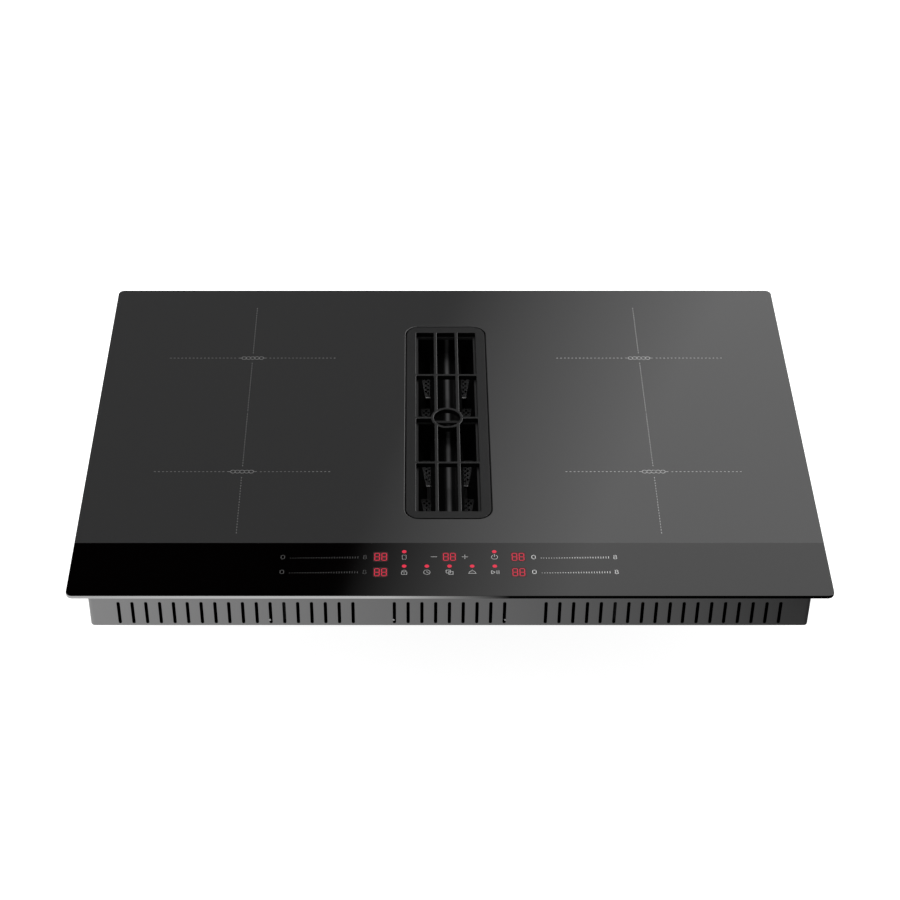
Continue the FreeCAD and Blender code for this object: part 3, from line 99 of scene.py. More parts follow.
def pickEdges(piece, test):
    makeActive(piece)
    bpy.ops.object.mode_set(mode="EDIT")
    bpy.ops.mesh.select_mode(type="EDGE")
    bpy.ops.mesh.select_all(action="DESELECT")
    bpy.ops.object.mode_set(mode="OBJECT")
    spots = piece.data.vertices
    for edge in piece.data.edges:
        a, b = spots[edge.vertices[0]].co / mm, spots[edge.vertices[1]].co / mm
        edge.select = bool(test(a, b))
    bpy.ops.object.mode_set(mode="EDIT")


def bevelEdges(piece, test, wide, steps):
    pickEdges(piece, test)
    bpy.ops.mesh.bevel(offset=wide * mm, segments=steps, affect="EDGES", profile=0.5)
    bpy.ops.object.mode_set(mode="OBJECT")


def isUpright(a, b):
    return abs(a.x - b.x) < 0.01 and abs(a.y - b.y) < 0.01 and abs(a.z - b.z) > 0.05


def addPlate(name, low, high, corner, steps=8):
    piece = addBlock(name, low, high)
    bevelEdges(piece, isUpright, corner, steps)
    return piece


def applyModifier(piece, kind, **settings):
    makeActive(piece)
    modifier = piece.modifiers.new(kind.title(), kind)
    for key, value in settings.items():
        setattr(modifier, key, value)
    bpy.ops.object.modifier_apply(modifier=modifier.name)


def carve(piece, tool, operation="DIFFERENCE"):
    applyModifier(piece, "BOOLEAN", object=tool, operation=operation, solver="EXACT")
    bpy.data.objects.remove(tool)


def softenEdges(piece, wide, steps=2, angle=35, clamped=True):
    applyModifier(piece, "BEVEL", width=wide * mm, segments=steps, limit_method="ANGLE",
                  angle_limit=math.radians(angle), use_clamp_overlap=clamped)


def copyOf(piece, matrix, name="copy"):
    twin = piece.copy()
    twin.data = piece.data.copy()
    twin.name = name
    twin.data.transform(matrix)
    bpy.context.scene.collection.objects.link(twin)
    return twin


def joined(pieces, name):
    clearPick()
    for piece in pieces:
        piece.select_set(True)
    bpy.context.view_layer.objects.active = pieces[0]
    if len(pieces) > 1:
        bpy.ops.object.join()
    pieces[0].name = name
    pieces[0].data.name = name
    return pieces[0]


def shift(x=0, y=0, z=0):
    return Matrix.Translation((x * mm, y * mm, z * mm))


def addSlots(piece, *names):
    for name in names:
        piece.data.materials.append(looks[name])


def handOver(piece, body, material, replaced=(), smooth=40):
    makeActive(piece)
    if smooth:
        bpy.ops.object.shade_smooth_by_angle(angle=math.radians(smooth))
        applyModifier(piece, "WEIGHTED_NORMAL", mode="FACE_AREA", weight=100, keep_sharp=True)
    if not piece.data.materials:
        piece.data.materials.append(material)
    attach(piece, body)
    if replaced:
        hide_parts(*replaced)
    return piece


print("stage: helpers ready")


# shared effects and materials
def newGroup(name, inputs, outputs):
    group = bpy.data.node_groups.new(name, "ShaderNodeTree")
    for label, kind in inputs:
        group.interface.new_socket(label, in_out="INPUT", socket_type=kind)
    for label, kind in outputs:
        group.interface.new_socket(label, in_out="OUTPUT", socket_type=kind)
    start = group.nodes.new("NodeGroupInput")
    end = group.nodes.new("NodeGroupOutput")
    return group, start, end


def mathNode(tree, operation, first, second=None):
    node = tree.nodes.new("ShaderNodeMath")
    node.operation = operation
    for socket, value in zip(node.inputs, (first, second)):
        if value is None:
            continue
        if isinstance(value, (int, float)):
            socket.default_value = value
        else:
            tree.links.new(value, socket)
    return node.outputs[0]


def makeGrainGroup():
    group, start, end = newGroup("surfaceGrain",
                                 [("Vector", "NodeSocketVector"), ("Patch Scale", "NodeSocketFloat"),
                                  ("Grain Scale", "NodeSocketFloat"), ("Grain Mix", "NodeSocketFloat")],
                                 [("Patch", "NodeSocketFloat"), ("Grain", "NodeSocketFloat")])
    patch = group.nodes.new("ShaderNodeTexNoise")
    patch.inputs["Detail"].default_value = 4
    grain = group.nodes.new("ShaderNodeTexNoise")
    grain.inputs["Detail"].default_value = 2
    speck = group.nodes.new("ShaderNodeTexVoronoi")
    for node, scale in ((patch, "Patch Scale"), (grain, "Grain Scale"), (speck, "Grain Scale")):
        group.links.new(start.outputs["Vector"], node.inputs["Vector"])
        group.links.new(start.outputs[scale], node.inputs["Scale"])
    mixed = group.nodes.new("ShaderNodeMix")
    group.links.new(start.outputs["Grain Mix"], mixed.inputs["Factor"])
    group.links.new(grain.outputs["Fac"], mixed.inputs["A"])
    group.links.new(speck.outputs["Distance"], mixed.inputs["B"])
    group.links.new(patch.outputs["Fac"], end.inputs["Patch"])
    group.links.new(mixed.outputs["Result"], end.inputs["Grain"])
    return group


def makeBrushGroup():
    group, start, end = newGroup("brushedLines",
                                 [("Vector", "NodeSocketVector"), ("Stretch", "NodeSocketVector"),
                                  ("Scale", "NodeSocketFloat")],
                                 [("Lines", "NodeSocketFloat")])
    stretched = group.nodes.new("ShaderNodeVectorMath")
    stretched.operation = "MULTIPLY"
    group.links.new(start.outputs["Vector"], stretched.inputs[0])
    group.links.new(start.outputs["Stretch"], stretched.inputs[1])
    lines = group.nodes.new("ShaderNodeTexNoise")
    lines.inputs["Detail"].default_value = 3
    group.links.new(stretched.outputs["Vector"], lines.inputs["Vector"])
    group.links.new(start.outputs["Scale"], lines.inputs["Scale"])
    group.links.new(lines.outputs["Fac"], end.inputs["Lines"])
    return group


def makeDustGroup():
    group, start, end = newGroup("restingDust",
                                 [("Vector", "NodeSocketVector"), ("Amount", "NodeSocketFloat")],
                                 [("Dust", "NodeSocketFloat")])
    geometry = group.nodes.new("ShaderNodeNewGeometry")
    facing = group.nodes.new("ShaderNodeSeparateXYZ")
    group.links.new(geometry.outputs["Normal"], facing.inputs["Vector"])
    cloud = group.nodes.new("ShaderNodeTexNoise")
    cloud.inputs["Scale"].default_value = 38
    cloud.inputs["Detail"].default_value = 6
    group.links.new(start.outputs["Vector"], cloud.inputs["Vector"])
    upward = mathNode(group, "MAXIMUM", facing.outputs["Z"], 0.0)
    spread = mathNode(group, "MULTIPLY", upward, cloud.outputs["Fac"])
    dust = mathNode(group, "MULTIPLY", spread, start.outputs["Amount"])
    group.links.new(dust, end.inputs["Dust"])
    return group


grainGroup = makeGrainGroup()
brushGroup = makeBrushGroup()
dustGroup = makeDustGroup()


def placeGroup(tree, group, vector, **values):
    node = tree.nodes.new("ShaderNodeGroup")
    node.node_tree = group
    tree.links.new(vector, node.inputs["Vector"])
    for label, value in values.items():
        node.inputs[label.replace("_", " ")].default_value = value
    return node


def ranged(tree, value, low, high, fromLow=0.3, fromHigh=0.7):
    node = tree.nodes.new("ShaderNodeMapRange")
    node.inputs["From Min"].default_value = fromLow
    node.inputs["From Max"].default_value = fromHigh
    node.inputs["To Min"].default_value = low
    node.inputs["To Max"].default_value = high
    tree.links.new(value, node.inputs["Value"])
    return node.outputs["Result"]


def mixedColor(tree, factor, first, second):
    node = tree.nodes.new("ShaderNodeMix")
    node.data_type = "RGBA"
    tree.links.new(factor, node.inputs[0])
    for socket, value in ((node.inputs[6], first), (node.inputs[7], second)):
        if isinstance(value, tuple):
            socket.default_value = (*value, 1)
        else:
            tree.links.new(value, socket)
    return node.outputs[2]


def grey(level):
    return (level,) * 3


# color and shade are the two tones that the patches run between, in linear light
finishes = {
    "wellPlastic": dict(color=(0.012, 0.012, 0.0125), shade=(0.008, 0.008, 0.0085), rough=(0.5, 0.65),
                        grain=1800, patch=20, bump=0.15, dust=0.01, sheen=0.2),
    "ductPlastic": dict(color=(0.05, 0.05, 0.052), shade=(0.04, 0.04, 0.042), rough=(0.42, 0.6), grain=1500,
                        patch=8, bump=0.18, lift=0.00015, dust=0.06),
    "impellerPlastic": dict(color=(0.3, 0.3, 0.31), shade=(0.24, 0.24, 0.25), rough=(0.45, 0.6), grain=1500,
                            patch=14, bump=0.15),
    "fanPlastic": dict(color=grey(0.04), shade=grey(0.03), rough=(0.35, 0.5), grain=1500, patch=14, bump=0.15),
    "groundGlass": dict(color=grey(0.004), shade=grey(0.003), rough=(0.5, 0.7), grain=2000, patch=200,
                        bump=0.2, sheen=0.1),
    # painted highlight: the lighter tone for the top faces of the filter plates' foot lips
    "lipPaintedHighlight": dict(color=grey(0.3), shade=grey(0.24), rough=(0.3, 0.45), grain=1500, patch=60, bump=0.1),
    "foam": dict(color=grey(0.03), shade=grey(0.02), rough=(0.8, 0.95), grain=900, patch=60, bump=0.5,
                 lift=0.0004),
    "silicone": dict(color=grey(0.12), shade=grey(0.09), rough=(0.55, 0.7), grain=1200, patch=40, bump=0.1,
                     dust=0.02),
    # near black: the touch holder's own black, taken darker as painted shade seen through the casing front's
    # slots
    "blackPlasticPaintedShade": dict(color=grey(0.002), shade=grey(0.001), rough=(0.85, 0.95), grain=1500, patch=20,
                         bump=0.1),
    "naturalPlastic": dict(color=(0.7, 0.69, 0.65), shade=(0.62, 0.61, 0.57), rough=(0.4, 0.55), grain=1500,
                           patch=20, bump=0.1),
    "micaSheet": dict(color=(0.7, 0.64, 0.52), shade=(0.55, 0.5, 0.4), rough=(0.35, 0.7), grain=500, patch=120,
                      bump=0.2),
    "ferrite": dict(color=(0.07, 0.07, 0.075), shade=(0.05, 0.05, 0.055), rough=(0.5, 0.7), grain=2500,
                    patch=60, bump=0.3),
    "solderMask": dict(color=(0.03, 0.16, 0.07), shade=(0.02, 0.1, 0.045), rough=(0.2, 0.35), grain=900,
                       patch=240, bump=0.15),
    "components": dict(color=(0.08, 0.08, 0.1), shade=(0.05, 0.05, 0.07), rough=(0.3, 0.5), grain=900,
                       patch=60, bump=0.1),
    "tintedDisplay": dict(color=(0.05, 0.008, 0.008), shade=(0.03, 0.005, 0.005), rough=(0.12, 0.2), grain=600,
                          patch=60, bump=0.05),
}
metals = {
    "motorMetal": dict(color=(0.55, 0.55, 0.56), shade=(0.42, 0.42, 0.43), rough=(0.38, 0.55), scale=900),
    "groundSteel": dict(color=grey(0.6), shade=grey(0.48), rough=(0.2, 0.36), stretch=(1, 1, 0.08), scale=1500),
    "springSteel": dict(color=(0.62, 0.58, 0.46), shade=(0.5, 0.46, 0.36), rough=(0.25, 0.4),
                        stretch=(1, 1, 8), scale=400),
    "rolledAluminium": dict(color=(0.68, 0.68, 0.69), shade=(0.58, 0.58, 0.6), rough=(0.28, 0.45),
                            stretch=(1, 0.03, 1), scale=1600),
    "extrudedAluminium": dict(color=(0.62, 0.62, 0.63), shade=(0.5, 0.5, 0.52), rough=(0.3, 0.46),
                              stretch=(1, 0.02, 1), scale=1600),
    "zincPlate": dict(color=(0.58, 0.58, 0.56), shade=(0.46, 0.46, 0.47), rough=(0.28, 0.5),
                      scale=260),
    "rivetMetal": dict(color=grey(0.42), shade=grey(0.36), rough=(0.4, 0.55), scale=700),
    "powderCoat": dict(color=(0.215, 0.215, 0.216), shade=(0.2, 0.2, 0.201), rough=(0.3, 0.36), scale=1500),
}


def startMaterial(name):
    material = bpy.data.materials.new(name)
    material.use_nodes = True
    tree = material.node_tree
    shader = tree.nodes["Principled BSDF"]
    place = tree.nodes.new("ShaderNodeTexCoord").outputs["Object"]
    return material, tree, shader, place


def apart(tree, vector):
    split = tree.nodes.new("ShaderNodeSeparateXYZ")
    tree.links.new(vector, split.inputs[0])
    return split


def feed(tree, shader, tone, rough):
    tree.links.new(tone, shader.inputs["Base Color"])
    tree.links.new(rough, shader.inputs["Roughness"])


def bumped(tree, shader, height, strength, distance):
    bump = tree.nodes.new("ShaderNodeBump")
    bump.inputs["Strength"].default_value = strength
    bump.inputs["Distance"].default_value = distance
    tree.links.new(height, bump.inputs["Height"])
    tree.links.new(bump.outputs["Normal"], shader.inputs["Normal"])


def makeFinish(name, spec):
    material, tree, shader, place = startMaterial(name)
    grain = placeGroup(tree, grainGroup, place, Patch_Scale=spec["patch"], Grain_Scale=spec["grain"],
                       Grain_Mix=0.4)
    patchMask = ranged(tree, grain.outputs["Patch"], 0, 1)
    tone = mixedColor(tree, patchMask, spec["shade"], spec["color"])
    shader.inputs["Specular IOR Level"].default_value = spec.get("sheen", 0.5)
    if "dust" in spec:
        dust = placeGroup(tree, dustGroup, place, Amount=spec["dust"] * 6)
        tone = mixedColor(tree, dust.outputs["Dust"], tone, (0.18, 0.175, 0.17))
    feed(tree, shader, tone, ranged(tree, grain.outputs["Grain"], *spec["rough"]))
    bumped(tree, shader, grain.outputs["Grain"], spec["bump"], spec.get("lift", 0.0001))
    return material


# castEnamel is the grille's own tone; its near-black copy is painted shade for side and under faces, its
# lighter copy a painted highlight on right-facing bevels
enamels = {
    "castEnamel": dict(color=(0.0104, 0.0104, 0.0106), shade=(0.009, 0.009, 0.0092), rough=(0.3, 0.4),
                       gloss=0.22),
    "enamelPaintedHighlight": dict(color=(0.085, 0.085, 0.086), shade=(0.07, 0.07, 0.071), rough=(0.24, 0.34), gloss=0.4),
    # painted highlight for the glass cut-out's right-facing bevels
    "cutPaintedHighlight": dict(color=grey(0.11), shade=grey(0.09), rough=(0.2, 0.3), gloss=0.4),
    "enamelPaintedShade": dict(color=grey(0.0012), shade=grey(0.0008), rough=(0.6, 0.75), gloss=0.05),
}


def makeCastEnamel(name, spec):
    material, tree, shader, place = startMaterial(name)
    grain = placeGroup(tree, grainGroup, place, Patch_Scale=30, Grain_Scale=1300, Grain_Mix=0.4)
    patchMask = ranged(tree, grain.outputs["Patch"], 0, 1)
    feed(tree, shader, mixedColor(tree, patchMask, spec["shade"], spec["color"]),
         ranged(tree, grain.outputs["Grain"], *spec["rough"]))
    shader.inputs["Specular IOR Level"].default_value = spec["gloss"]
    bumped(tree, shader, grain.outputs["Grain"], 0.2, 0.0002)
    return material


# painted light: the cassette's black plastic is taken near black below the rim as painted shade, the rim's top
# is painted lighter as lit, and a band along the crown is a painted highlight; levels in mm: the rim's
# underside, and how far the crown's highlight band reaches from the middle
cassettePaintedLight = dict(deep=grey(0.0011), rim=(0.023, 0.023, 0.0232), crown=(0.062, 0.062, 0.063),
                      rimLevel=-3.0, rimBlur=0.2, bandMiddle=1.7, bandFull=0.7, bandEnd=3.1,
                      rough=(0.45, 0.6), gloss=0.05)


def makeCassettePlastic():
    spec = cassettePaintedLight
    material, tree, shader, place = startMaterial("cassettePlastic")
    split = apart(tree, place)
    grain = placeGroup(tree, grainGroup, place, Patch_Scale=25, Grain_Scale=2200, Grain_Mix=0.4)
    # the crown band is a painted highlight, set off the middle to the right
    offMiddle = mathNode(tree, "SUBTRACT", split.outputs["X"], spec["bandMiddle"] * mm)
    fromMid = mathNode(tree, "ABSOLUTE", offMiddle)
    paintedHighlightBand = ranged(tree, fromMid, 1, 0, spec["bandFull"] * mm, spec["bandEnd"] * mm)
    # above the rim level the tone is painted lighter as lit; below it the deep tone is painted shade
    onRim = ranged(tree, split.outputs["Z"], 0, 1, (spec["rimLevel"] - spec["rimBlur"]) * mm,
                   (spec["rimLevel"] + spec["rimBlur"]) * mm)
    body = mixedColor(tree, mathNode(tree, "MULTIPLY", paintedHighlightBand, ranged(tree, grain.outputs["Patch"], 0.85, 1)),
                      spec["deep"], spec["crown"])
    feed(tree, shader, mixedColor(tree, onRim, body, spec["rim"]),
         ranged(tree, grain.outputs["Grain"], *spec["rough"]))
    shader.inputs["Specular IOR Level"].default_value = spec["gloss"]
    bumped(tree, shader, grain.outputs["Grain"], 0.1, 0.0001)
    return material


def makeMetal(name, spec):
    material, tree, shader, place = startMaterial(name)
    lines = placeGroup(tree, brushGroup, place, Stretch=spec.get("stretch", (1, 1, 1)), Scale=spec["scale"])
    tone = mixedColor(tree, ranged(tree, lines.outputs["Lines"], 0, 1), spec["shade"], spec["color"])
    feed(tree, shader, tone, ranged(tree, lines.outputs["Lines"], *spec["rough"]))
    shader.inputs["Metallic"].default_value = 1
    bumped(tree, shader, lines.outputs["Lines"], 0.08, 0.0001)
    return material


looks = {name: makeFinish(name, spec) for name, spec in finishes.items()}
looks.update({name: makeMetal(name, spec) for name, spec in metals.items()})

# border is the line between the grey print and the black strip
glassFinish = dict(upper=(0.0305, 0.0305, 0.0308), strip=(0.0006, 0.0004, 0.0004), border=-181.6,
                   borderBlur=0.2, spread=0.06, rough=(0.035, 0.06))


def makeCeramicGlass():
    material, tree, shader, place = startMaterial("ceramicGlass")
    split = apart(tree, place)
    border, blur, spread = glassFinish["border"] * mm, glassFinish["borderBlur"] * mm, glassFinish["spread"]
    behind = ranged(tree, split.outputs["Y"], 0, 1, border - blur, border + blur)
    grain = placeGroup(tree, grainGroup, place, Patch_Scale=6, Grain_Scale=900, Grain_Mix=0.3)
    printTone = mixedColor(tree, grain.outputs["Grain"], tuple(c * (1 - spread) for c in glassFinish["upper"]),
                           tuple(c * (1 + spread) for c in glassFinish["upper"]))
    feed(tree, shader, mixedColor(tree, behind, glassFinish["strip"], printTone),
         ranged(tree, grain.outputs["Patch"], *glassFinish["rough"]))
    shader.inputs["IOR"].default_value = 1.5
    bumped(tree, shader, grain.outputs["Patch"], 0.02, 0.0001)
    return material


def makeGlow(name, color, strength, shade):
    material, tree, shader, place = startMaterial(name)
    grain = placeGroup(tree, grainGroup, place, Patch_Scale=400, Grain_Scale=1800, Grain_Mix=0.2)
    tone = mixedColor(tree, ranged(tree, grain.outputs["Patch"], 0, 1), shade, color)
    tree.links.new(tone, shader.inputs["Emission Color"])
    shader.inputs["Base Color"].default_value = (*[c * 0.1 for c in color], 1)
    shader.inputs["Emission Strength"].default_value = strength
    shader.inputs["Roughness"].default_value = 0.3
    return material


def makePrint(name, left, right, start=-0.16, end=0.12):
    material, tree, shader, place = startMaterial(name)
    split = apart(tree, place)
    # the print's own tone is painted lighter from left to right along X, a painted reflection sweep
    across = ranged(tree, split.outputs["X"], 0, 1, start, end)
    grain = placeGroup(tree, grainGroup, place, Patch_Scale=90, Grain_Scale=2500, Grain_Mix=0.3)
    level = mathNode(tree, "MULTIPLY", across, ranged(tree, grain.outputs["Patch"], 0.9, 1.1))
    feed(tree, shader, mixedColor(tree, level, grey(left), grey(right)),
         ranged(tree, grain.outputs["Grain"], 0.25, 0.4))
    return material


wire = dict(pitch=0.0032, gap=(0.16, 0.07, 0.03), copper=(0.62, 0.3, 0.13), rough=(0.5, 0.3))


def makeWinding():
    material, tree, shader, place = startMaterial("litzWinding")
    split = apart(tree, place)
    coilLow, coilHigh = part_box("coil_back_right")
    frontLow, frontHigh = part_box("coil_front_right")
    middleX = (coilLow.x + coilHigh.x) / 2
    backY, frontY = (coilLow.y + coilHigh.y) / 2, (frontLow.y + frontHigh.y) / 2
    across = mathNode(tree, "SUBTRACT", mathNode(tree, "ABSOLUTE", split.outputs["X"]), middleX)
    fromMid = mathNode(tree, "ABSOLUTE", mathNode(tree, "SUBTRACT", split.outputs["Y"], (backY + frontY) / 2))
    along = mathNode(tree, "SUBTRACT", fromMid, (backY - frontY) / 2)
    reach = mathNode(tree, "SQRT", mathNode(tree, "ADD", mathNode(tree, "MULTIPLY", across, across),
                                            mathNode(tree, "MULTIPLY", along, along)))
    turn = mathNode(tree, "SINE", mathNode(tree, "MULTIPLY", reach, 2 * math.pi / wire["pitch"]))
    wave = ranged(tree, turn, 0, 1, -1, 1)
    feed(tree, shader, mixedColor(tree, wave, wire["gap"], wire["copper"]),
         ranged(tree, wave, *wire["rough"], 0, 1))
    shader.inputs["Metallic"].default_value = 0.8
    bumped(tree, shader, wave, 0.6, 0.0008)
    return material


# painted reflection: the rim's brightness rises from its left end to near the middle, then falls off
edgePaintedReflection = dict(bright=(0.34, 0.6), riseFrom=-0.37, riseTo=-0.04, dim=0.002, fallFrom=-0.06, fallTo=0.06,
                  rough=(0.06, 0.14))


def makePolishedEdgePaintedReflection():
    spec = edgePaintedReflection
    material, tree, shader, place = startMaterial("polishedEdgePaintedReflection")
    lines = placeGroup(tree, brushGroup, place, Stretch=(1, 1, 12), Scale=300)
    split = apart(tree, place)
    # rising and falling paint the reflection's brightness along X
    rising = ranged(tree, split.outputs["X"], *spec["bright"], spec["riseFrom"], spec["riseTo"])
    falling = ranged(tree, split.outputs["X"], 1, spec["dim"], spec["fallFrom"], spec["fallTo"])
    level = mathNode(tree, "MULTIPLY", mathNode(tree, "MULTIPLY", rising, falling),
                     ranged(tree, lines.outputs["Lines"], 0.97, 1.03))
    feed(tree, shader, mixedColor(tree, level, (0, 0, 0), (1, 1, 1)),
         ranged(tree, lines.outputs["Lines"], *spec["rough"]))
    shader.inputs["Metallic"].default_value = 1
    return material


looks["polishedEdgePaintedReflection"] = makePolishedEdgePaintedReflection()
looks.update({name: makeCastEnamel(name, spec) for name, spec in enamels.items()})
looks["cassettePlastic"] = makeCassettePlastic()
looks["ceramicGlass"] = makeCeramicGlass()
looks["redLight"] = makeGlow("redLight", (0.86, 0.014, 0.066), 0.8, (0.78, 0.01, 0.05))
looks["redHalo"] = makeGlow("redHalo", (0.04, 0.001, 0.002), 0.6, (0.025, 0.0006, 0.001))
# left and right are the print tones at the two ends of the painted reflection sweep
looks["zonePrint"] = makePrint("zonePrint", 0.13, 0.42)
looks["signPrint"] = makePrint("signPrint", 0.2, 0.5)
looks["keyPrint"] = makePrint("keyPrint", 0.16, 0.6)
looks["sliderPrint"] = makePrint("sliderPrint", 0.05, 0.76, -0.06)
looks["litzWinding"] = makeWinding()
print("stage: materials ready")

# the CAD pieces that keep their own shape
nodeLooks = {
    "rim_seal": "foam", "well_gasket": "silicone", "grille_pads": "silicone", "coil_cushions": "silicone",
    "casing_tray": "powderCoat", "inlet_well": "wellPlastic", "cassette_back": "cassettePlastic",
    "cassette_front": "cassettePlastic", "plenum_box": "ductPlastic", "drip_tray": "ductPlastic",
    "blower_scroll": "ductPlastic", "blower_lid": "ductPlastic", "blower_motor": "motorMetal",
    "impeller_shaft": "groundSteel", "blower_impeller": "impellerPlastic",
    "impeller_cage": "impellerPlastic", "flap_lower": "ductPlastic",
    "flap_upper": "ductPlastic", "duct_spigot": "ductPlastic", "mica_discs": "micaSheet",
    "ferrite_bars": "ferrite", "zone_sensors": "naturalPlastic", "board_standoffs": "naturalPlastic",
    "touch_holder": "blackPlasticPaintedShade", "terminal_box": "wellPlastic", "terminal_cover": "wellPlastic",
    "cable_gland": "wellPlastic", "terminal_block": "naturalPlastic", "machine_screws": "groundSteel",
    "touch_board": "solderMask", "display_modules": "tintedDisplay", "touch_springs": "springSteel",
    "coil_plate": "rolledAluminium", "coil_carrier": "wellPlastic", "coil_": "litzWinding",
    "power_board": "solderMask", "power_parts": "components", "heatsink": "extrudedAluminium",
    "fan_": "fanPlastic", "clamp_": "zincPlate",
}
for name, node in nodes.items():
    match = [key for key in nodeLooks if name == key] or [key for key in nodeLooks if name.startswith(key)]
    if not match:
        continue
    node.data.materials.clear()
    node.data.materials.append(looks[nodeLooks[match[0]]])
    makeActive(node)
    bpy.ops.object.shade_smooth_by_angle(angle=math.radians(35))
clearPick()
print("stage: carried pieces dressed")

# glass plate
# a slope is the upward share of a face's normal; litSide is the share that points to the right, past which the
# cut-out's bevels get a painted highlight
glassPlate = dict(corner=7, polish=0.6, cutCorner=15.4, cutWide=92, cutDeep=333.4, cutY=22.2, rimZone=2,
                  rimSlope=0.35, wallSlope=0.1, flatSlope=0.97, litSide=0.12, cutPast=5)


def makeGlassPlate():
    spec = glassPlate
    low, high = glassLow / mm, glassHigh / mm
    piece = addPlate("glassPlate", low, high, spec["corner"], 10)
    half = Vector((spec["cutWide"] / 2, spec["cutDeep"] / 2, 0))
    middle = Vector((0, spec["cutY"], 0))
    below, above = Vector((0, 0, low.z - spec["cutPast"])), Vector((0, 0, high.z + spec["cutPast"]))
    tool = addPlate("glassTool", middle - half + below, middle + half + above, spec["cutCorner"], 10)
    carve(piece, tool)
    softenEdges(piece, spec["polish"], 3, 50)
    addSlots(piece, "ceramicGlass", "polishedEdgePaintedReflection", "groundGlass", "cutPaintedHighlight")
    for face in piece.data.polygons:
        spot, slope = face.center / mm, face.normal.z
        onRim = abs(spot.x) > high.x - spec["rimZone"] or abs(spot.y) > high.y - spec["rimZone"]
        # the rim's faces take the edge tone, whose brightness is a painted reflection
        if onRim and slope < spec["rimSlope"]:
            face.material_index = 1
        if not onRim and abs(slope) < spec["wallSlope"]:
            face.material_index = 2
        # right-facing bevels of the cut-out take a lighter copy as painted highlight
        if not onRim and spec["wallSlope"] < slope < spec["flatSlope"] and face.normal.x > spec["litSide"]:
            face.material_index = 3
    return handOver(piece, "hob", looks["ceramicGlass"], ["glass_top"], 40)


makeGlassPlate()
print("stage: glass plate")

# print on the glass: zone lines and coil signs
printLift = 0.02
printSunk = 0.05  # the print's root in the glass
zoneMarks = dict(x=219.5, backY=129.0, frontY=-69.2, reach=93, gap=20, pitch=4.25, dash=1.9, wide=0.75,
                 upTo=223.5, downTo=-166.0, backEnd=35.0, frontStart=28.0, gapAlong=10.0)


def addMark(name, x, y, wide, deep):
    return addBlock(name, (x - wide / 2, y - deep / 2, topZ - printSunk),
                    (x + wide / 2, y + deep / 2, topZ + printLift))


def dashRow(name, x0, y0, x1, y1, spec):
    along = math.hypot(x1 - x0, y1 - y0)
    count = int(along / spec["pitch"]) + 1
    flat = abs(x1 - x0) > abs(y1 - y0)
    dash = addMark(name, x0, y0, spec["dash"] if flat else spec["wide"], spec["wide"] if flat else spec["dash"])
    step = ((x1 - x0) / (count - 1) * mm, (y1 - y0) / (count - 1) * mm, 0)
    applyModifier(dash, "ARRAY", count=count, use_relative_offset=False, use_constant_offset=True,
                  constant_offset_displace=step)
    return dash


def loopMark(name, x, y, outer, inner, sides):
    ring = addDrum(name, (x, y, topZ), outer, 2 * printLift, sides)
    hole = addDrum(name + "Hole", (x, y, topZ), inner, 1, sides)
    carve(ring, hole)
    return ring


def makeZoneMarks():
    spec = zoneMarks
    rows = []
    for side in (-1, 1):
        x = side * spec["x"]
        for y in (spec["backY"], spec["frontY"]):
            rows.append(dashRow("row", x - spec["reach"], y, x - spec["gap"], y, spec))
            rows.append(dashRow("row", x + spec["gap"], y, x + spec["reach"], y, spec))
        rows.append(dashRow("row", x, spec["upTo"], x, spec["backY"] + spec["gapAlong"], spec))
        rows.append(dashRow("row", x, spec["backY"] - spec["gapAlong"], x, spec["backEnd"], spec))
        rows.append(dashRow("row", x, spec["frontStart"], x, spec["frontY"] + spec["gapAlong"], spec))
        rows.append(dashRow("row", x, spec["frontY"] - spec["gapAlong"], x, spec["downTo"], spec))
    return handOver(joined(rows, "zoneLines"), "hob", looks["zonePrint"], smooth=0)


coilSign = dict(loops=5, radius=2.7, line=0.55, pitch=4.9, tail=3.0, tailOver=0.6)


def makeCoilSigns():
    spec = coilSign
    signs = []
    first = loopMark("coilLoop", 0, 0, spec["radius"], spec["radius"] - spec["line"], 24)
    parts = [first]
    for i in range(1, spec["loops"]):
        parts.append(copyOf(first, shift(i * spec["pitch"])))
    span = (spec["loops"] - 1) * spec["pitch"]
    for end in (-spec["radius"] - spec["tail"] / 2, span + spec["radius"] + spec["tail"] / 2):
        parts.append(addMark("coilTail", end, 0, spec["tail"] + spec["tailOver"], spec["line"]))
    sign = joined(parts, "coilSign")
    sign.data.transform(shift(-span / 2))
    for x in (-zoneMarks["x"], zoneMarks["x"]):
        for y in (zoneMarks["backY"], zoneMarks["frontY"]):
            signs.append(copyOf(sign, shift(x, y)))
    bpy.data.objects.remove(sign)
    return handOver(joined(signs, "coilSigns"), "hob", looks["signPrint"], smooth=0)


makeZoneMarks()
makeCoilSigns()
print("stage: zone marks")

# control strip: figures, key lights, icons and sliders
strip = dict(rowBack=-202.5, rowFront=-225.4, keyPitch=23, displayX=70, lightBack=-194.8, lightFront=-216.4,
             lightRadius=2.35, line=0.62)
figure = dict(wide=5.6, high=11.3, line=0.84, gap=1.6, between=0.5)
glowPane = dict(wide=15.2, high=14.4, corner=1.5, liftShare=0.4)


def addFigure(x, y):
    spec = figure
    w, h, t = spec["wide"], spec["high"], spec["line"]
    bars = []
    for level in (-1, 0, 1):
        bars.append(addMark("bar", x, y + level * (h - t) / 2, w - t - spec["between"], t))
    for side in (-1, 1):
        for level in (-1, 1):
            bars.append(addMark("bar", x + side * (w - t) / 2, y + level * (h - t) / 4, t,
                                (h - t) / 2 - spec["between"]))
    for bar in bars:
        bevelEdges(bar, isUpright, t * 0.4, 1)
    return joined(bars, "figure")


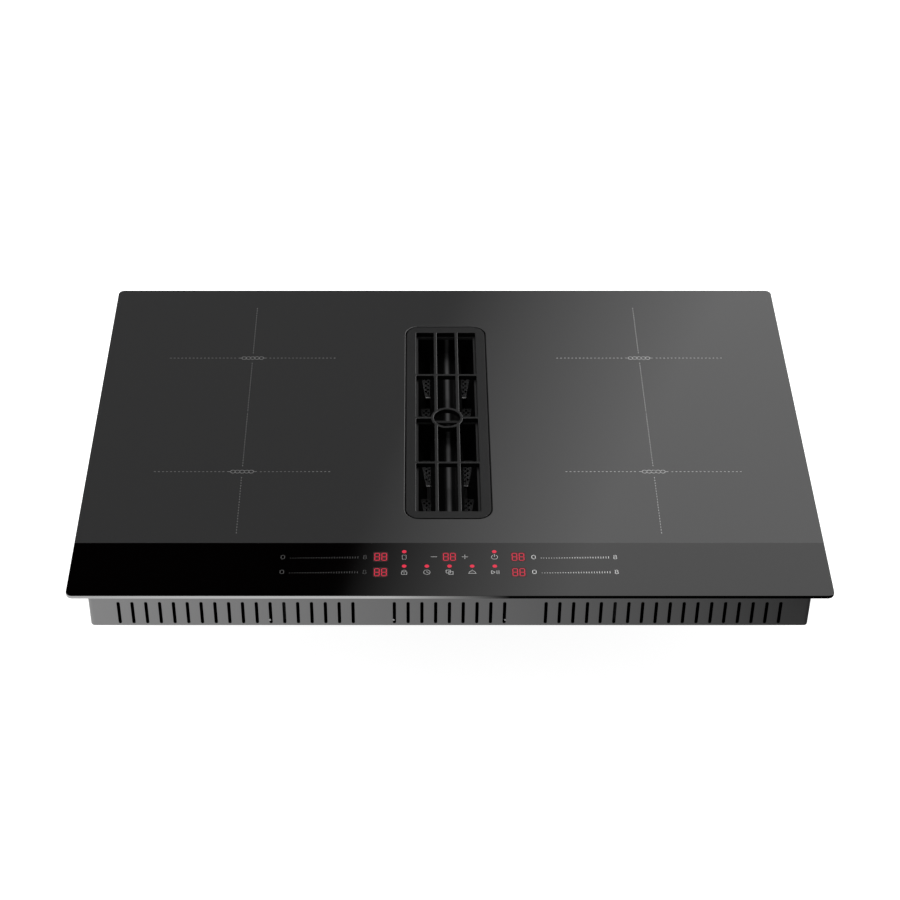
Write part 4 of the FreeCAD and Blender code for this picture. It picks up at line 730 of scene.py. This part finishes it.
def makeDisplays():
    spec = strip
    spots = [(-spec["displayX"], spec["rowBack"]), (-spec["displayX"], spec["rowFront"]), (0, spec["rowBack"]),
             (spec["displayX"], spec["rowBack"]), (spec["displayX"], spec["rowFront"])]
    first = addFigure(0, 0)
    figures, panes = [], []
    for x, y in spots:
        for side in (-1, 1):
            figures.append(copyOf(first, shift(x + side * (figure["wide"] + figure["gap"]) / 2, y)))
        halfX, halfY = glowPane["wide"] / 2, glowPane["high"] / 2
        pane = addBlock("pane", (x - halfX, y - halfY, topZ - printSunk),
                        (x + halfX, y + halfY, topZ + printLift * glowPane["liftShare"]))
        bevelEdges(pane, isUpright, glowPane["corner"], 3)
        panes.append(pane)
    bpy.data.objects.remove(first)
    handOver(joined(figures, "litFigures"), "hob", looks["redLight"], smooth=0)
    handOver(joined(panes, "figureGlow"), "hob", looks["redHalo"], smooth=0)


def makeKeyLights():
    spec = strip
    lights = []
    for row, columns in (("lightBack", (-2, 2)), ("lightFront", range(-2, 3))):
        lights += [(i * spec["keyPitch"], spec[row]) for i in columns]
    made = [addDrum("keyLight", (x, y, topZ), spec["lightRadius"], 2 * printLift, 16) for x, y in lights]
    handOver(joined(made, "keyLights"), "hob", looks["redLight"], smooth=0)


def frameMark(x, y, wide, high, line, corner):
    outer = addMark("frameMark", x, y, wide, high)
    bevelEdges(outer, isUpright, corner, 3)
    inner = addBlock("frameHole", (x - wide / 2 + line, y - high / 2 + line, topZ - 1),
                     (x + wide / 2 - line, y + high / 2 - line, topZ + 1))
    carve(outer, inner)
    return outer


arcOverlap = 1.15  # each bar of an arc runs a little over its neighbour


def arcMark(x, y, radius, line, start, end, steps):
    pieces = []
    for i in range(steps):
        a = math.radians(start + (end - start) * (i + 0.5) / steps)
        long = radius * math.radians(abs(end - start)) / steps * arcOverlap
        bar = addMark("arcBar", 0, 0, long, line)
        bar.data.transform(shift(x + radius * math.cos(a), y + radius * math.sin(a)) @
                           Matrix.Rotation(a + math.pi / 2, 4, "Z"))
        pieces.append(bar)
    return joined(pieces, "arcMark")


def strokeMark(x0, y0, x1, y1, line):
    long = math.hypot(x1 - x0, y1 - y0)
    bar = addMark("strokeMark", 0, 0, long, line)
    turned = Matrix.Rotation(math.atan2(y1 - y0, x1 - x0), 4, "Z")
    bar.data.transform(shift((x0 + x1) / 2, (y0 + y1) / 2) @ turned)
    return bar


# signs on the keys: column, row, kind of mark, share of the line's width, measures in mm from the key's middle
keySigns = [
    (-2, "rowBack", "frame", 0.7, 0, -0.5, 4.4, 6.6, 0.7),  # bridge: an upright frame
    (2, "rowBack", "arc", 1, 0, -0.4, 3.1, 120, 420, 14),  # power: an open ring and a stroke
    (2, "rowBack", "stroke", 1, 0, 0, 0, 3.8),
    (0, "rowBack", "stroke", 1, -18.9, 0, -12.7, 0),  # minus and plus beside the middle figures
    (0, "rowBack", "stroke", 1, 12.7, 0, 18.9, 0),
    (0, "rowBack", "stroke", 1, 15.8, -3.1, 15.8, 3.1),
    (-2, "rowFront", "frame", 1, 0, -1.3, 6.0, 4.6, 0.8),  # lock
    (-2, "rowFront", "arc", 1, 0, 1.2, 1.9, 0, 180, 9),
    (-2, "rowFront", "stroke", 1, 0, -0.4, 0, -2.2),
    (-1, "rowFront", "arc", 1, 0, 0, 3.2, 0, 360, 22),  # clock
    (-1, "rowFront", "stroke", 0.8, 0, 0, 0, 2.0),
    (-1, "rowFront", "stroke", 0.8, 0, 0, 1.6, -0.6),
    (0, "rowFront", "frame", 1, -1.3, 1.0, 5.0, 5.0, 0.5),  # two linked zones
    (0, "rowFront", "frame", 1, 1.3, -1.0, 5.0, 5.0, 0.5),
    (1, "rowFront", "arc", 1, 0, -1.2, 3.2, 0, 180, 12),  # covered pan
    (1, "rowFront", "stroke", 1, -4.2, -1.6, 4.2, -1.6),
    (1, "rowFront", "arc", 0.8, 0, 2.6, 0.7, 0, 360, 8),
    (2, "rowFront", "stroke", 1, -3.6, 2.6, -3.6, -2.6),  # play and pause
    (2, "rowFront", "stroke", 1, -3.6, 2.6, 0.2, 0),
    (2, "rowFront", "stroke", 1, -3.6, -2.6, 0.2, 0),
    (2, "rowFront", "stroke", 1, 1.9, 2.6, 1.9, -2.6),
    (2, "rowFront", "stroke", 1, 3.9, 2.6, 3.9, -2.6),
]


def addSign(kind, x, y, line, dx, dy, *more):
    if kind == "stroke":
        endX, endY = more
        return strokeMark(x + dx, y + dy, x + endX, y + endY, line)
    if kind == "arc":
        radius, start, end, steps = more
        return arcMark(x + dx, y + dy, radius, line, start, end, steps)
    wide, high, corner = more
    return frameMark(x + dx, y + dy, wide, high, line, corner)


def makeIcons():
    marks = []
    for column, row, kind, share, *measures in keySigns:
        marks.append(addSign(kind, column * strip["keyPitch"], strip[row], strip["line"] * share, *measures))
    handOver(joined(marks, "keyIcons"), "hob", looks["keyPrint"], smooth=0)


slider = dict(ticks=27, first=7.8, pitch=2.64, zeroLeft=-169.7, endLeft=-86.0, zeroRight=85.8, endRight=169.0,
              shortTick=0.9, tallTick=2.9, tickWide=0.6, tickFoot=2.0, zeroWide=4.3, zeroHigh=6.0,
              zeroLine=0.75, zeroCorner=1.9, ringOuter=2.2, ringInner=1.55, ringRise=1.4,
              backOff=-0.4, frontOff=0.5)
# the two rings of the sign at a slider's end: which way each lies, and its shares of the ring's size
endRings = [(1, 0.78, 0.7), (-1, 0.88, 0.8)]


def makeSliders():
    spec = slider
    marks = []
    ring = loopMark("zeroRing", 0, 0, spec["ringOuter"], spec["ringInner"], 14)
    zeroSign = frameMark(0, 0, spec["zeroWide"], spec["zeroHigh"], spec["zeroLine"], spec["zeroCorner"])
    for zero, end in ((spec["zeroLeft"], spec["endLeft"]), (spec["zeroRight"], spec["endRight"])):
        for y in (strip["rowBack"] + spec["backOff"], strip["rowFront"] + spec["frontOff"]):
            marks.append(copyOf(zeroSign, shift(zero, y)))
            for i in range(spec["ticks"]):
                grow = i / (spec["ticks"] - 1)
                high = spec["shortTick"] + grow * (spec["tallTick"] - spec["shortTick"])
                x = zero + spec["first"] + i * spec["pitch"]
                marks.append(addMark("tick", x, y - spec["tickFoot"] + high / 2, spec["tickWide"], high))
            for side, shareX, shareY in endRings:
                place = shift(end, y + side * spec["ringRise"])
                marks.append(copyOf(ring, place @ Matrix.Diagonal((shareX, shareY, 1, 1))))
    bpy.data.objects.remove(ring)
    bpy.data.objects.remove(zeroSign)
    handOver(joined(marks, "sliderMarks"), "hob", looks["sliderPrint"], smooth=0)


makeDisplays()
makeKeyLights()
makeIcons()
makeSliders()
print("stage: control strip")

# rivets that hold the vent panels, on the edge of three slots
ventRivet = dict(spots=(-183.0, -56.8, 57.2), fromBottom=9.0, radius=1.25, proud=0.45, sunk=0.2, roundShare=0.8)


def makeVentRivets():
    spec = ventRivet
    faceY, level = casingLow.y / mm, casingLow.z / mm + spec["fromBottom"]
    middle = faceY + (spec["sunk"] - spec["proud"]) / 2
    rivets = []
    for x in spec["spots"]:
        rivet = addDrum("rivet", (x, middle, level), spec["radius"], spec["proud"] + spec["sunk"], 20, "Y")
        bevelEdges(rivet, lambda a, b: max(a.y, b.y) < faceY - spec["proud"] / 2,
                   spec["proud"] * spec["roundShare"], 3)
        rivets.append(rivet)
    return handOver(joined(rivets, "ventRivets"), "hob", looks["rivetMetal"], smooth=40)


makeVentRivets()
print("stage: vent rivets")

# grille
grille = dict(wide=89.4, deep=331.0, y=22.2, corner=14.4, rail=10.8, barX=12, barWide=3.6, crossWide=3.0,
              crossPitch=76, ringOuter=17.6, ringInner=14.6, thick=6, edge=0.5, cellCorner=0.8, cutPast=2,
              topSlope=0.2, edgeSlope=0.15, flatSlope=0.97, litSide=0.25, outerBand=4)


def spansBetween(start, end, bars, wide):
    starts = [start] + [bar + wide / 2 for bar in bars]
    ends = [bar - wide / 2 for bar in bars] + [end]
    return list(zip(starts, ends))


def makeGrille():
    spec = grille
    low = topZ - spec["thick"]
    halfX, halfY = spec["wide"] / 2, spec["deep"] / 2
    y = spec["y"]
    piece = addPlate("grilleCasting", (-halfX, y - halfY, low), (halfX, y + halfY, topZ), spec["corner"], 12)
    holeX, holeY = halfX - spec["rail"], halfY - spec["rail"]
    columns = spansBetween(-holeX, holeX, (-spec["barX"], spec["barX"]), spec["barWide"])
    crossBars = [y + i * spec["crossPitch"] for i in (-1, 0, 1)]
    rows = spansBetween(y - holeY, y + holeY, crossBars, spec["crossWide"])
    tools = []
    for x0, x1 in columns:
        for y0, y1 in rows:
            tools.append(addPlate("cell", (x0, y0, low - spec["cutPast"]), (x1, y1, topZ + spec["cutPast"]),
                                  spec["cellCorner"], 2))
    cells = joined(tools, "cells")
    boss = addDrum("boss", (0, y, topZ - spec["thick"] / 2), spec["ringOuter"], spec["thick"] + 8, 64)
    carve(cells, boss)
    carve(piece, cells)
    carve(piece, addDrum("ringHole", (0, y, topZ), spec["ringInner"], 20, 64))
    softenEdges(piece, spec["edge"], 2, 40, False)
    addSlots(piece, "castEnamel", "enamelPaintedShade", "enamelPaintedHighlight")
    # top faces keep the enamel; side and under faces take painted shade, right-facing inner bevels a painted
    # highlight
    for face in piece.data.polygons:
        slope = face.normal.z
        face.material_index = 0 if slope > spec["topSlope"] else 1
        isInner = abs(face.center.x) < (halfX - spec["outerBand"]) * mm
        if isInner and face.normal.x > spec["litSide"] and spec["edgeSlope"] < slope < spec["flatSlope"]:
            face.material_index = 2
    return handOver(piece, "grille", looks["castEnamel"], ["air_grille"], 45)


makeGrille()
print("stage: grille")

# perforated filter plates
# near and far are the plate's edges at the spine and at the liner, at its top and along its foot
filterPlates = dict(nearTop=18.4, nearLow=15.5, farTop=28.7, farLow=23.0, run=25.8, fall=15, repeat=63.8,
                    thick=1, lipHigh=2, lipIn=0.2, lipRound=0.3, lipZone=0.3, holeRadius=1.3, pitchX=5.1,
                    pitchY=4.85, margin=1.9, firstRow=0.6)


def sliceOff(piece, point, normal):
    makeActive(piece)
    bpy.ops.object.mode_set(mode="EDIT")
    bpy.ops.mesh.select_all(action="SELECT")
    bpy.ops.mesh.bisect(plane_co=[c * mm for c in point], plane_no=normal, use_fill=True, clear_outer=True)
    bpy.ops.object.mode_set(mode="OBJECT")


def makePlate():
    spec = filterPlates
    long = math.hypot(spec["run"], spec["fall"])
    plate = addBlock("plate", (spec["nearLow"] - 1, -long, -spec["thick"]), (spec["farTop"] + 1, 0, 0))
    nearStep, farStep = spec["nearLow"] - spec["nearTop"], spec["farLow"] - spec["farTop"]
    sliceOff(plate, (spec["nearTop"], 0, 0), -Vector((long, nearStep, 0)).normalized())
    sliceOff(plate, (spec["farTop"], 0, 0), Vector((long, farStep, 0)).normalized())
    first = addDrum("hole", (0, 0, 0), spec["holeRadius"], 6, 12)
    tools = []
    rowCount = int((long - 2 * spec["margin"]) / (spec["pitchY"] / 2))
    for row in range(rowCount):
        y = -spec["margin"] - spec["firstRow"] - row * spec["pitchY"] / 2
        share = -y / long
        near = spec["nearTop"] + share * nearStep + spec["margin"]
        far = spec["farTop"] + share * farStep - spec["margin"]
        x = spec["nearLow"] + spec["margin"] + (spec["pitchX"] / 2 if row % 2 else 0)
        while x < far:
            if x > near:
                tools.append(copyOf(first, shift(x, y)))
            x += spec["pitchX"]
    bpy.data.objects.remove(first)
    carve(plate, joined(tools, "holes"))
    plate.data.transform(Matrix.Rotation(math.atan2(spec["fall"], spec["run"]), 4, "X"))
    foot = -spec["fall"] - spec["thick"]
    lip = addBlock("lip", (spec["nearLow"], -spec["run"] - spec["thick"], foot),
                   (spec["farLow"], -spec["run"] + spec["lipIn"], foot + spec["lipHigh"]))
    bevelEdges(lip, lambda a, b: abs(a.x - b.x) > 1, spec["lipRound"], 2)
    carve(plate, lip, "UNION")
    addSlots(plate, "filterMetal", "lipPaintedHighlight")
    # the foot lip's top faces take the lighter tone as painted highlight
    for face in plate.data.polygons:
        onLip = face.center.y < (spec["lipZone"] - spec["run"]) * mm and face.normal.z > 0.3
        face.material_index = 1 if onLip else 0
    return plate


# levels in mm: painted shade darkens the plates from brightLevel up to dimLevel
platePaintedShade = dict(bright=(0.052, 0.052, 0.053), dim=(0.006, 0.006, 0.006), brightLevel=-35.0, dimLevel=-27.0,
                   rough=(0.4, 0.55))


def makePlateMetal():
    spec = platePaintedShade
    material, tree, shader, place = startMaterial("filterMetal")
    split = apart(tree, place)
    lines = placeGroup(tree, brushGroup, place, Stretch=(1, 0.1, 1), Scale=1400)
    # painted shade: the plate colour gets darker towards the plates' upper edges
    depth = ranged(tree, split.outputs["Z"], 1, 0, spec["brightLevel"] * mm, spec["dimLevel"] * mm)
    level = mathNode(tree, "MULTIPLY", depth, ranged(tree, lines.outputs["Lines"], 0.85, 1))
    feed(tree, shader, mixedColor(tree, level, spec["dim"], spec["bright"]),
         ranged(tree, lines.outputs["Lines"], *spec["rough"]))
    shader.inputs["Specular IOR Level"].default_value = 0.1
    bumped(tree, shader, lines.outputs["Lines"], 0.08, 0.0001)
    return material


looks["filterMetal"] = makePlateMetal()


def makeFilterPlates(which):
    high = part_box("filter_mesh_" + which)[1]
    first = makePlate()
    plates = []
    for i in range(2):
        place = shift(0, high.y / mm - i * filterPlates["repeat"], high.z / mm)
        plates.append(copyOf(first, place))
        twin = copyOf(first, place @ Matrix.Diagonal((-1, 1, 1, 1)))
        twin.data.flip_normals()
        plates.append(twin)
    bpy.data.objects.remove(first)
    body = "cassette_rear" if which == "back" else "cassette_fore"
    piece = joined(plates, "filterPlates_" + which)
    return handOver(piece, body, looks["filterMetal"], ["filter_mesh_" + which], 30)


makeFilterPlates("back")
makeFilterPlates("front")
print("stage: filter plates")

# lights, surroundings and camera
studio = dict(plain=0.4, glossTop=1.54, backStart=-0.041, backEnd=0.105, lean=0.68, leanFrom=0.68,
              frontStart=-0.11, frontEnd=0.12, turnFrom=-0.5, turnTo=0.1, lampPlace=(0, 3.0, 3.6),
              lampPower=222.0, lampSize=2.8, floorSize=16, floorTone=0.6, floorGlow=0.9, floorLeft=1.26,
              floorRight=0.11, sweepFrom=-0.44, sweepTo=0.42)


def makeWorld():
    world = bpy.data.worlds.new("studioWorld")
    bpy.context.scene.world = world
    world.use_nodes = True
    tree = world.node_tree
    tree.nodes.clear()
    direction = tree.nodes.new("ShaderNodeTexCoord").outputs["Generated"]
    split = apart(tree, direction)
    x, y = split.outputs["X"], split.outputs["Y"]
    flat = mathNode(tree, "SQRT", mathNode(tree, "ADD", mathNode(tree, "MULTIPLY", x, x),
                                           mathNode(tree, "ADD", mathNode(tree, "MULTIPLY", y, y), 0.000001)))
    hx, hy = mathNode(tree, "DIVIDE", x, flat), mathNode(tree, "DIVIDE", y, flat)

    def smooth(value, low, high, kind="SMOOTHSTEP"):
        node = tree.nodes.new("ShaderNodeMapRange")
        node.interpolation_type = kind
        node.inputs["From Min"].default_value = low
        node.inputs["From Max"].default_value = high
        tree.links.new(value, node.inputs["Value"])
        return node.outputs["Result"]

    tilt = mathNode(tree, "MULTIPLY", mathNode(tree, "SUBTRACT", split.outputs["Z"], studio["leanFrom"]),
                    studio["lean"])
    leaning = mathNode(tree, "ADD", hx, tilt)
    back = mathNode(tree, "MULTIPLY", smooth(leaning, studio["backStart"], studio["backEnd"], "LINEAR"),
                    smooth(hy, studio["turnFrom"], studio["turnTo"]))
    turnedX, turnedY = mathNode(tree, "MULTIPLY", hx, -1), mathNode(tree, "MULTIPLY", hy, -1)
    front = mathNode(tree, "MULTIPLY", smooth(turnedX, studio["frontStart"], studio["frontEnd"]),
                     smooth(turnedY, studio["turnFrom"], studio["turnTo"]))
    bright = mathNode(tree, "MINIMUM", mathNode(tree, "ADD", back, front), 1)
    gloss = tree.nodes.new("ShaderNodeBackground")
    tree.links.new(mixedColor(tree, bright, (0, 0, 0), (1, 1, 1)), gloss.inputs["Color"])
    gloss.inputs["Strength"].default_value = studio["glossTop"]
    plain = tree.nodes.new("ShaderNodeBackground")
    plain.inputs["Strength"].default_value = studio["plain"]
    white = tree.nodes.new("ShaderNodeBackground")
    for node in (plain, white):
        node.inputs["Color"].default_value = (1, 1, 1, 1)
    path = tree.nodes.new("ShaderNodeLightPath")
    glossy = mathNode(tree, "MAXIMUM", path.outputs["Is Glossy Ray"], path.outputs["Is Transmission Ray"])
    first = tree.nodes.new("ShaderNodeMixShader")
    tree.links.new(glossy, first.inputs[0])
    tree.links.new(plain.outputs[0], first.inputs[1])
    tree.links.new(gloss.outputs[0], first.inputs[2])
    second = tree.nodes.new("ShaderNodeMixShader")
    tree.links.new(path.outputs["Is Camera Ray"], second.inputs[0])
    tree.links.new(first.outputs[0], second.inputs[1])
    tree.links.new(white.outputs[0], second.inputs[2])
    end = tree.nodes.new("ShaderNodeOutputWorld")
    tree.links.new(second.outputs[0], end.inputs["Surface"])


def makeFloor():
    clearPick()
    bpy.ops.mesh.primitive_plane_add(size=studio["floorSize"], location=(0, 0, cadLow.z - 0.0005))
    floor = bpy.context.object
    floor.name = "studioFloor"
    material = bpy.data.materials.new("paleFloor")
    material.use_nodes = True
    tree = material.node_tree
    tree.nodes.clear()
    matte = tree.nodes.new("ShaderNodeBsdfDiffuse")
    matte.inputs["Color"].default_value = (*grey(studio["floorTone"]), 1)
    glow = tree.nodes.new("ShaderNodeEmission")
    glow.inputs["Strength"].default_value = studio["floorGlow"]
    path = tree.nodes.new("ShaderNodeLightPath")
    seen = tree.nodes.new("ShaderNodeAddShader")
    tree.links.new(matte.outputs[0], seen.inputs[0])
    tree.links.new(glow.outputs[0], seen.inputs[1])
    place = tree.nodes.new("ShaderNodeTexCoord").outputs["Object"]
    split = apart(tree, place)
    level = ranged(tree, split.outputs["X"], studio["floorLeft"], studio["floorRight"],
                   studio["sweepFrom"], studio["sweepTo"])
    sweep = tree.nodes.new("ShaderNodeEmission")
    tree.links.new(level, sweep.inputs["Strength"])
    camera = tree.nodes.new("ShaderNodeMixShader")
    tree.links.new(path.outputs["Is Camera Ray"], camera.inputs[0])
    tree.links.new(matte.outputs[0], camera.inputs[1])
    tree.links.new(seen.outputs[0], camera.inputs[2])
    mirrored = tree.nodes.new("ShaderNodeMixShader")
    tree.links.new(path.outputs["Is Glossy Ray"], mirrored.inputs[0])
    tree.links.new(camera.outputs[0], mirrored.inputs[1])
    tree.links.new(sweep.outputs[0], mirrored.inputs[2])
    end = tree.nodes.new("ShaderNodeOutputMaterial")
    tree.links.new(mirrored.outputs[0], end.inputs["Surface"])
    floor.data.materials.append(material)


def addLamp(name, place, aim, size, power):
    data = bpy.data.lights.new(name, "AREA")
    data.shape = "RECTANGLE"
    data.size = size
    data.size_y = size
    data.energy = power
    lamp = bpy.data.objects.new(name, data)
    bpy.context.scene.collection.objects.link(lamp)
    lamp.location = place
    lamp.rotation_euler = (Vector(aim) - Vector(place)).to_track_quat("-Z", "Y").to_euler()
    lamp.visible_camera = False
    lamp.visible_glossy = False
    return lamp


makeWorld()
makeFloor()
addLamp("backLight", studio["lampPlace"], (0, 0, 0), studio["lampSize"], studio["lampPower"])

view = dict(place=(-34.2, -1823.0, 1510.4), down=40.06, lens=86.67, shiftX=0.038)
lensData = bpy.data.cameras.new("viewCamera")
lensData.lens = view["lens"]
lensData.sensor_width = 36
lensData.shift_x = view["shiftX"]
camera = bpy.data.objects.new("viewCamera", lensData)
bpy.context.scene.collection.objects.link(camera)
camera.location = [c * mm for c in view["place"]]
camera.rotation_euler = (math.radians(90 - view["down"]), 0, 0)
bpy.context.scene.camera = camera
bpy.context.scene.view_settings.view_transform = "Standard"
print("stage: studio ready")

clearPick()
